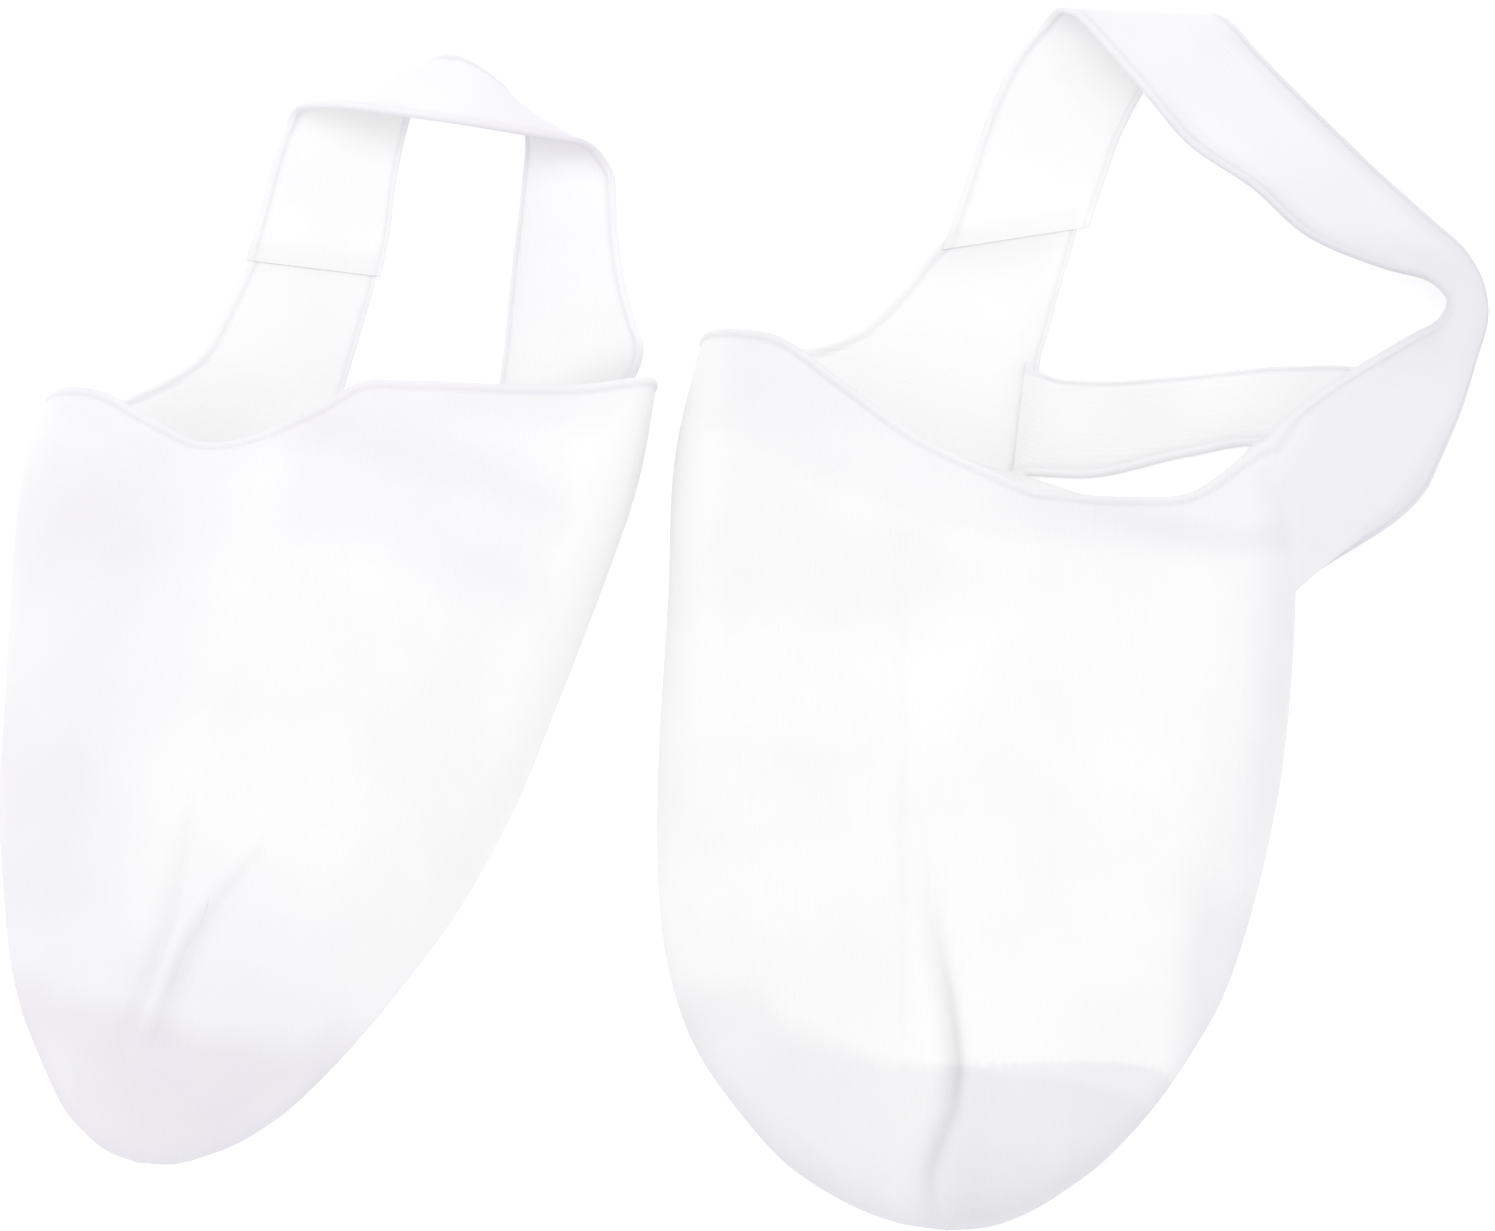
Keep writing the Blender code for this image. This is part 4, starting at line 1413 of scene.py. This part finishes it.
    @staticmethod
    def finish(
        piece: bpy.types.Object,
        cut: Cut,
        held: str,
        stands_for: Sequence[str],
        rests: Sequence[str],
    ) -> None:
        """Attaches a sheet of the knit to the root, hides the CAD nodes it stands for and logs
        its size.

        Args:
            piece: The piece.
            cut: Its flat size; not used.
            held: How it is held, in the frame's words; not used.
            stands_for: The CAD nodes it replaces.
            rests: What it lies on; not used.
        """
        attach(piece, "root")
        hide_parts(*stands_for)
        faces = piece.data.polygons
        one_side = sum(f.area for f in faces) / 2
        LOG.info("%s: %d faces, one side %.5f m2", piece.name, len(faces), one_side)


@dataclass
class LeftFootCover(Cover):
    """The cover for the left foot, at the right of the picture.

    Its vamp, little-toe wing and sling are one run of cloth. The sling's end laps on the
    big-toe wing, which comes from the sole.
    """

    vamp_cut: Cut = Cut(0.32, 0.13, 0.0161)
    sole_cut: Cut = Cut(0.086, 0.116, 0.00775)
    wing_cut: Cut = Cut(0.041, 0.039, 0.00112)
    band_cut: Cut = Cut(0.060, 0.016, 0.00088)

    def root(self) -> tuple[np.ndarray, np.ndarray]:
        """Places at the hem where the little-toe wing leaves the vamp, and their distances."""
        places = np.linspace(ROOT_PLACE, 1, 400)
        along = run_of(self.pouch.points(np.ones(400), places))
        across = spread(float(along[-1]), Bead.ROLLED, Bead.TURNED, 22)
        return np.interp(across, along, places), across

    def body(self) -> bpy.types.Object:
        """Makes the vamp, little-toe wing and sling in one piece."""
        root, root_across = self.root()
        inner = np.linspace(0, ROOT_PLACE, 37)[:-1]
        half = np.concatenate([inner, root])
        places = np.concatenate([-half[:0:-1], half])
        vamp = self.pouch.vamp(places, 130, Bead.ROLLED)
        cloth = Cloth(self.place)
        rows = LEFT_FOOT_SLING + LEFT_FOOT_LITTLE_TOE_WING[1:-1]
        free, knit = strap(rows, Bead.ROLLED, Bead.TURNED, 22, 1.2)
        free[..., 2] = settle(free, knit)
        edge = vamp[-1][-len(root):]
        inward = unit(self.pouch.points(0.985, root) - edge)
        joined, joined_knit = self.join(free, knit, edge, inward, root_across)
        tones = tones_of(joined_knit, LEFT_FOOT_STRAP_SHADE)
        away, where = to_line(vamp.reshape(-1, 3), edge)
        near = 1 - ease(0, 9, away)
        own = self.shade().at(vamp.reshape(-1, 3)) + self.hem_shade(vamp, -20.0, 0.05)
        own = own * (1 - near) + np.interp(where, np.arange(len(edge)), tones[-1]) * near
        cloth.add(vamp, self.pouch.knit(vamp), own.reshape(vamp.shape[:2]))
        cloth.add(joined[:, ::-1], joined_knit[:, ::-1], tones[:, ::-1])
        hem = np.concatenate([vamp[-1][: len(places) - len(root) + 1], joined[::-1, 0]])
        cloth.edge(hem, Bead.ROLLED)
        cloth.edge(joined[:, -1], Bead.TURNED)
        cloth.edge(joined[0], Bead.FEATHERED)
        cloth.ease_in(edge[4:], 3.4)
        cloth.press(LEFT_FOOT_TOE_CREASE, LEFT_FOOT_WING_FOLD)
        return cloth.build("left_vamp_and_sling", self.knit)

    @staticmethod
    def shade() -> Shade:
        """Painted shade and light on the vamp, lighter where the pad lies behind, and its knit
        line.
        """
        pad_front = (
            (-40.0, 30.0, 9.0), (-27.0, 26.0, 9.0), (-23.0, 22.5, 7.0),
            (-9.0, 17.8, 3.0), (0.8, 17.6, 0.5), (28.0, 22.0, 0.6),
        )
        hem_shade_line = (
            (-43.7, 111.8, 4.0), (-26.8, 103.0, 4.0), (-12.7, 96.6, 4.0),
            (1.6, 92.7, 4.0), (29.5, 92.4, 4.0), (41.8, 99.1, 4.0),
        )
        toe = straight(-40.0, 1.0)
        return Shade(
            # painted shade over the whole vamp, taken off where the pad lies behind; the front
            # below the pad's edge stays darker, partly the single layer and partly painted shade
            # of the toe
            base=0.45,
            zones=[
                Zone(pad_front, -0.23),
                Zone(pad_front, -0.14, sides=(-60.0, 31.0, 4.0), rear=(80.0, 12.0)),
                # painted shade on the right wall and the right of the toe
                Zone(straight(22.0, 20.0), 0.36, sides=(38.5, 80.0, 3.5)),
                Zone(straight(20.0, 8.0), 0.3, sides=(30.5, 80.0, 3.0), rear=(46.0, 6.0)),
                # painted light on the left wall
                Zone(straight(70.0, 24.0), -0.32, sides=(-90.0, -38.0, 5.0)),
                # painted shade at the toe's right front, painted light at its left
                Zone(toe, 0.16, sides=(1.0, 60.0, 3.0), rear=(17.5, 0.6)),
                Zone(toe, -0.14, sides=(-60.0, -3.0, 3.0), rear=(24.0, 5.0)),
                # painted shade in a band along the hem
                Zone(hem_shade_line, 0.12),
            ],
            lines=[
                (LEFT_FOOT_KNIT_LINE, 0.13),
                (LEFT_FOOT_CREASE_SHADOW, 0.2),
                # painted shadow along the fold at the wing
                (LEFT_FOOT_WING_FOLD, 0.2),
            ],
            # painted shade on the toe walls near the floor
            low=0.6,
            low_height=17.0,
        )

    @staticmethod
    def join(
        free: np.ndarray,
        knit: np.ndarray,
        edge: np.ndarray,
        inward: np.ndarray,
        across: np.ndarray,
    ) -> tuple[np.ndarray, np.ndarray]:
        """Runs the wing smoothly into the vamp.

        Args:
            free: The wing's and sling's grid, whose last row is nearest the vamp.
            knit: Its distances across and along the ribs.
            edge: The vamp's edge points.
            inward: Directions from the edge into the vamp.
            across: Distances of the edge points from the hem.

        Returns:
            The longer grid and its distances.
        """
        start = free[-1]
        heading = unit(free[-1] - free[-2])
        length = np.linalg.norm(edge - start, axis=1)[:, None]
        mean_length = float(length.mean())
        inward = unit(0.35 * inward + 0.65 * (edge - start) / length)
        steps = max(4, math.ceil(mean_length))    # about 1 mm each
        rows = []
        widths = []
        for t in np.linspace(0, 1, steps + 1)[1:]:
            first, leave, last, arrive = cubic(t)
            rows.append(
                first * start
                + leave * heading * length * 0.9
                + last * edge
                + arrive * inward * length * 0.7
            )
            wide = knit[-1, :, 0] * (1 - t) + across * t
            along = np.full_like(wide, knit[-1, 0, 1] + t * mean_length)
            widths.append(np.stack([wide, along], axis=1))
        rows[-1] = edge
        return np.concatenate([free, np.array(rows)]), np.concatenate([knit, np.array(widths)])

    def wing(self) -> bpy.types.Object:
        """Makes the big-toe wing, which comes out from under the vamp."""
        beads = (Bead.ROLLED, Bead.TURNED)
        grid, knit = strap(LEFT_FOOT_BIG_TOE_WING, *beads, 22, 0.8)
        tones = tones_of(knit, LEFT_FOOT_WING_SHADE)
        return self.strip("left_big_toe_wing_cloth", grid, knit, tones, beads)

    def band(self) -> bpy.types.Object:
        """Makes the arch band, sewn on the big-toe wing and under the little-toe wing's edge."""
        beads = (Bead.TURNED, Bead.ROLLED)
        grid, knit = strap(LEFT_FOOT_ARCH_BAND, *beads, 12, 0.6)
        along = knit[..., 1]
        grid[..., 2] += 0.68 * (1 - ease(2.6, 5.2, along))             # onto the big-toe wing
        grid[..., 2] += 0.8 * ease(-9.0, -1.0, along - along.max())    # up to the other wing
        return self.strip("left_arch_band_cloth", grid, knit, 0.05, beads, Bead.FEATHERED)

    def build(self) -> None:
        """Makes every piece of the cover and attaches it to the root."""
        self.finish(self.sole(), self.sole_cut, "laid", ["left_sole"], [])
        self.pad(left=-24.5, right=27.0, front=(28.0, 25.5), rear=80.0, corner=9.0)
        one_run = ["left_vamp", "left_little_toe_wing", "left_sling"]
        self.finish(self.body(), self.vamp_cut, "draped", one_run, ["left_sole_cloth"])
        self.finish(self.wing(), self.wing_cut, "laid", ["left_big_toe_wing"], [])
        self.finish(self.band(), self.band_cut, "laid", ["left_arch_band"], [])


@dataclass
class RightFootCover(Cover):
    """The cover for the right foot, at the left of the picture.

    Its sling and big-toe wing are one run of cloth, and the sling's other end laps on the
    little-toe wing. Both wings come from the sole.
    """

    vamp_cut: Cut = Cut(0.116, 0.125, 0.0118)
    sole_cut: Cut = Cut(0.076, 0.110, 0.00603)
    wing_cut: Cut = Cut(0.034, 0.040, 0.00095)
    sling_cut: Cut = Cut(0.021, 0.150, 0.00193)
    band_cut: Cut = Cut(0.022, 0.0115, 0.00024)

    def vamp(self) -> bpy.types.Object:
        """Makes the vamp."""
        half = np.linspace(0, 1, 96)
        places = np.concatenate([-half[:0:-1], half])
        grid = self.pouch.vamp(places, 130, Bead.ROLLED)
        cloth = Cloth(self.place)
        tones = self.shade().at(grid.reshape(-1, 3)) + self.hem_shade(grid, -60.0, 0.1)
        cloth.add(grid, self.pouch.knit(grid), tones.reshape(grid.shape[:2]))
        cloth.edge(grid[-1], Bead.ROLLED)
        cloth.press(RIGHT_FOOT_LONG_CREASE, RIGHT_FOOT_SHORT_CREASE)
        return cloth.build("right_vamp_cloth", self.knit)

    @staticmethod
    def shade() -> Shade:
        """Painted shade and light on the vamp, lighter where the pad lies behind, and the pleat's
        shadow.
        """
        pad_front = (
            (-30.0, 22.0, 8.0), (-15.0, 15.5, 6.0), (-5.0, 15.0, 5.0),
            (5.3, 13.8, 5.0), (18.8, 16.8, 8.0), (30.0, 26.0, 10.0),
        )
        return Shade(
            # painted shade over the whole vamp, taken off where the pad lies behind; the front
            # stays darker, partly the single layer and partly painted shade of the toe
            base=0.63,
            zones=[
                Zone(pad_front, -0.28),
                Zone(straight(32.0, 36.0), -0.14),
                Zone(straight(24.0, 9.0), -0.1, sides=(-16.0, 80.0, 6.0), rear=(98.0, 4.0)),
                # painted shade over the left side
                Zone(straight(26.0, 10.0), 0.17, sides=(-90.0, -9.0, 4.0), rear=(93.0, 7.0)),
                # painted shade by the hem on the right
                Zone(straight(85.0, 8.0), 0.18, sides=(-3.0, 36.0, 4.0), rear=(104.0, 4.0)),
                # painted light on the right wall
                Zone(straight(50.0, 20.0), -0.2, sides=(33.0, 90.0, 6.0)),
                Zone(straight(76.0, 20.0), -0.2, sides=(39.0, 90.0, 3.0)),
            ],
            lines=[(RIGHT_FOOT_CREASE_SHADOW, 0.06)],
            # painted shade on the toe walls near the floor
            low=0.3,
            low_height=16.0,
        )

    def sling(self) -> bpy.types.Object:
        """Makes the sling and the big-toe wing in one piece."""
        beads = (Bead.ROLLED, Bead.TURNED)
        grid, knit = strap(RIGHT_FOOT_SLING + RIGHT_FOOT_BIG_TOE_WING[1:], *beads, 18, 1.0)
        grid[..., 2] = settle(grid, knit)
        tones = tones_of(knit, RIGHT_FOOT_STRAP_SHADE)
        return self.strip("right_sling_and_wing", grid, knit, tones, beads, Bead.FEATHERED)

    def wing(self) -> bpy.types.Object:
        """Makes the little-toe wing."""
        beads = (Bead.ROLLED, Bead.TURNED)
        grid, knit = strap(RIGHT_FOOT_LITTLE_TOE_WING, *beads, 22, 1.0)
        tones = tones_of(knit, RIGHT_FOOT_WING_SHADE)
        return self.strip("right_little_toe_wing_cloth", grid, knit, tones, beads)

    def band(self) -> bpy.types.Object:
        """Makes the arch band."""
        beads = (Bead.TURNED, Bead.ROLLED)
        grid, knit = strap(RIGHT_FOOT_ARCH_BAND, *beads, 8, 1.0)
        return self.strip("right_arch_band_cloth", grid, knit, 0.1, beads)

    def build(self) -> None:
        """Makes every piece of the cover and attaches it to the root."""
        self.finish(self.sole(), self.sole_cut, "laid", ["right_sole"], [])
        self.pad(left=-12.0, right=21.0, front=(30.0, 33.0), rear=78.0, corner=8.0)
        self.finish(self.vamp(), self.vamp_cut, "draped", ["right_vamp"], ["right_sole_cloth"])
        one_run = ["right_sling", "right_big_toe_wing"]
        self.finish(self.sling(), self.sling_cut, "laid", one_run, [])
        self.finish(self.wing(), self.wing_cut, "laid", ["right_little_toe_wing"], [])
        self.finish(self.band(), self.band_cut, "laid", ["right_arch_band"], [])


@dataclass
class Studio:
    """The pale floor, the soft light and the camera."""

    elevation: float = 72.0                            # camera's height angle, degrees
    aim: tuple[float, float] = (0.000216, 0.001908)    # floor point at the frame's middle, m
    frame_width: float = 0.20763                       # width of the view at the aim, m
    lens: float = 1200.0                               # mm
    sensor: float = 36.0                               # width, mm
    floor_size: float = 4.0                            # m
    floor_height: float = -0.0002                      # just below the soles, m
    tone_gamma: float = 1.8                            # high-key print: pale tones lie close
    room_strength: float = 0.985                       # share of full white
    lamp_colour: tuple[float, float, float] = (1.0, 0.997, 0.99)

    def camera(self) -> None:
        """Sets the camera up at the photograph's viewing angle."""
        data = bpy.data.cameras.new("camera")
        data.lens = self.lens
        data.sensor_width = self.sensor
        away = self.frame_width * self.lens / self.sensor
        data.clip_end = 20.0
        data.clip_start = 0.05
        camera = bpy.data.objects.new("camera", data)
        e = math.radians(self.elevation)
        camera.location = (self.aim[0], self.aim[1] - away * math.cos(e), away * math.sin(e))
        camera.rotation_euler = (math.pi / 2 - e, 0, 0)
        bpy.context.scene.collection.objects.link(camera)
        bpy.context.scene.camera = camera

    def floor(self) -> None:
        """Lays the floor."""
        h = self.floor_size / 2
        corners = [(x, y, self.floor_height) for x, y in ((-h, -h), (h, -h), (h, h), (-h, h))]
        data = bpy.data.meshes.new("floor")
        data.from_pydata(corners, [], [(0, 1, 2, 3)])
        data.materials.append(FloorFinish("white_light_table").material())
        board = bpy.data.objects.new("floor", data)
        bpy.context.scene.collection.objects.link(board)

    def lights(self) -> None:
        """Sets up an even white room, a large soft lamp above and a soft fill on each side."""
        world = bpy.data.worlds.new("white_room")
        world.use_nodes = True
        room = world.node_tree.nodes["Background"]
        room.inputs[0].default_value = linearise("#ffffff")
        room.inputs[1].default_value = self.room_strength
        bpy.context.scene.world = world
        bpy.context.scene.view_settings.view_transform = "Standard"
        bpy.context.scene.view_settings.gamma = self.tone_gamma
        self.lamp("window", at=(-0.15, 0.4, 1.7), size=1.2, watts=7.5)
        self.lamp("left_fill", at=(-0.95, 0.1, 0.75), size=0.8, watts=2.2)
        self.lamp("right_fill", at=(0.95, 0.1, 0.75), size=0.8, watts=2.6)

    def lamp(self, name: str, at: tuple[float, float, float], size: float, watts: float) -> None:
        """Adds a square soft lamp that faces the pair."""
        data = bpy.data.lights.new(name, "AREA")
        data.shape = "SQUARE"
        data.size = size
        data.energy = watts
        data.color = self.lamp_colour
        lamp = bpy.data.objects.new(name, data)
        lamp.location = at
        tilt = math.acos(at[2] / math.hypot(*at))
        lamp.rotation_euler = (tilt, 0, math.atan2(-at[1], -at[0]) - math.pi / 2)
        bpy.context.scene.collection.objects.link(lamp)

    def build(self) -> None:
        """Sets up the whole studio."""
        self.floor()
        self.lights()
        self.camera()


def main() -> None:
    """Builds the pair and its studio."""
    logging.basicConfig(level=logging.INFO, format="%(message)s")
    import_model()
    left_knit = KnitFinish("left_white_nylon_microfibre_knit").material()
    # the right cover's painted shade is a little more lavender
    right_knit = KnitFinish("right_white_nylon_microfibre_knit", shaded="#cdc8d6").material()
    pile = PadFinish("white_terry_pad").material()
    left = LeftFootCover(
        side="left",
        place=LEFT_FOOT_PLACE,
        pouch=Pouch(LEFT_FOOT_SECTIONS, LEFT_FOOT_HEM, flare=1.5),
        sole_rear=LEFT_FOOT_SOLE_REAR,
        knit=left_knit,
        pile=pile,
    )
    left.build()
    right = RightFootCover(
        side="right",
        place=RIGHT_FOOT_PLACE,
        pouch=Pouch(RIGHT_FOOT_SECTIONS, RIGHT_FOOT_HEM),
        sole_rear=RIGHT_FOOT_SOLE_REAR,
        knit=right_knit,
        pile=pile,
    )
    right.build()
    Studio().build()


if __name__ == "__main__":
    main()
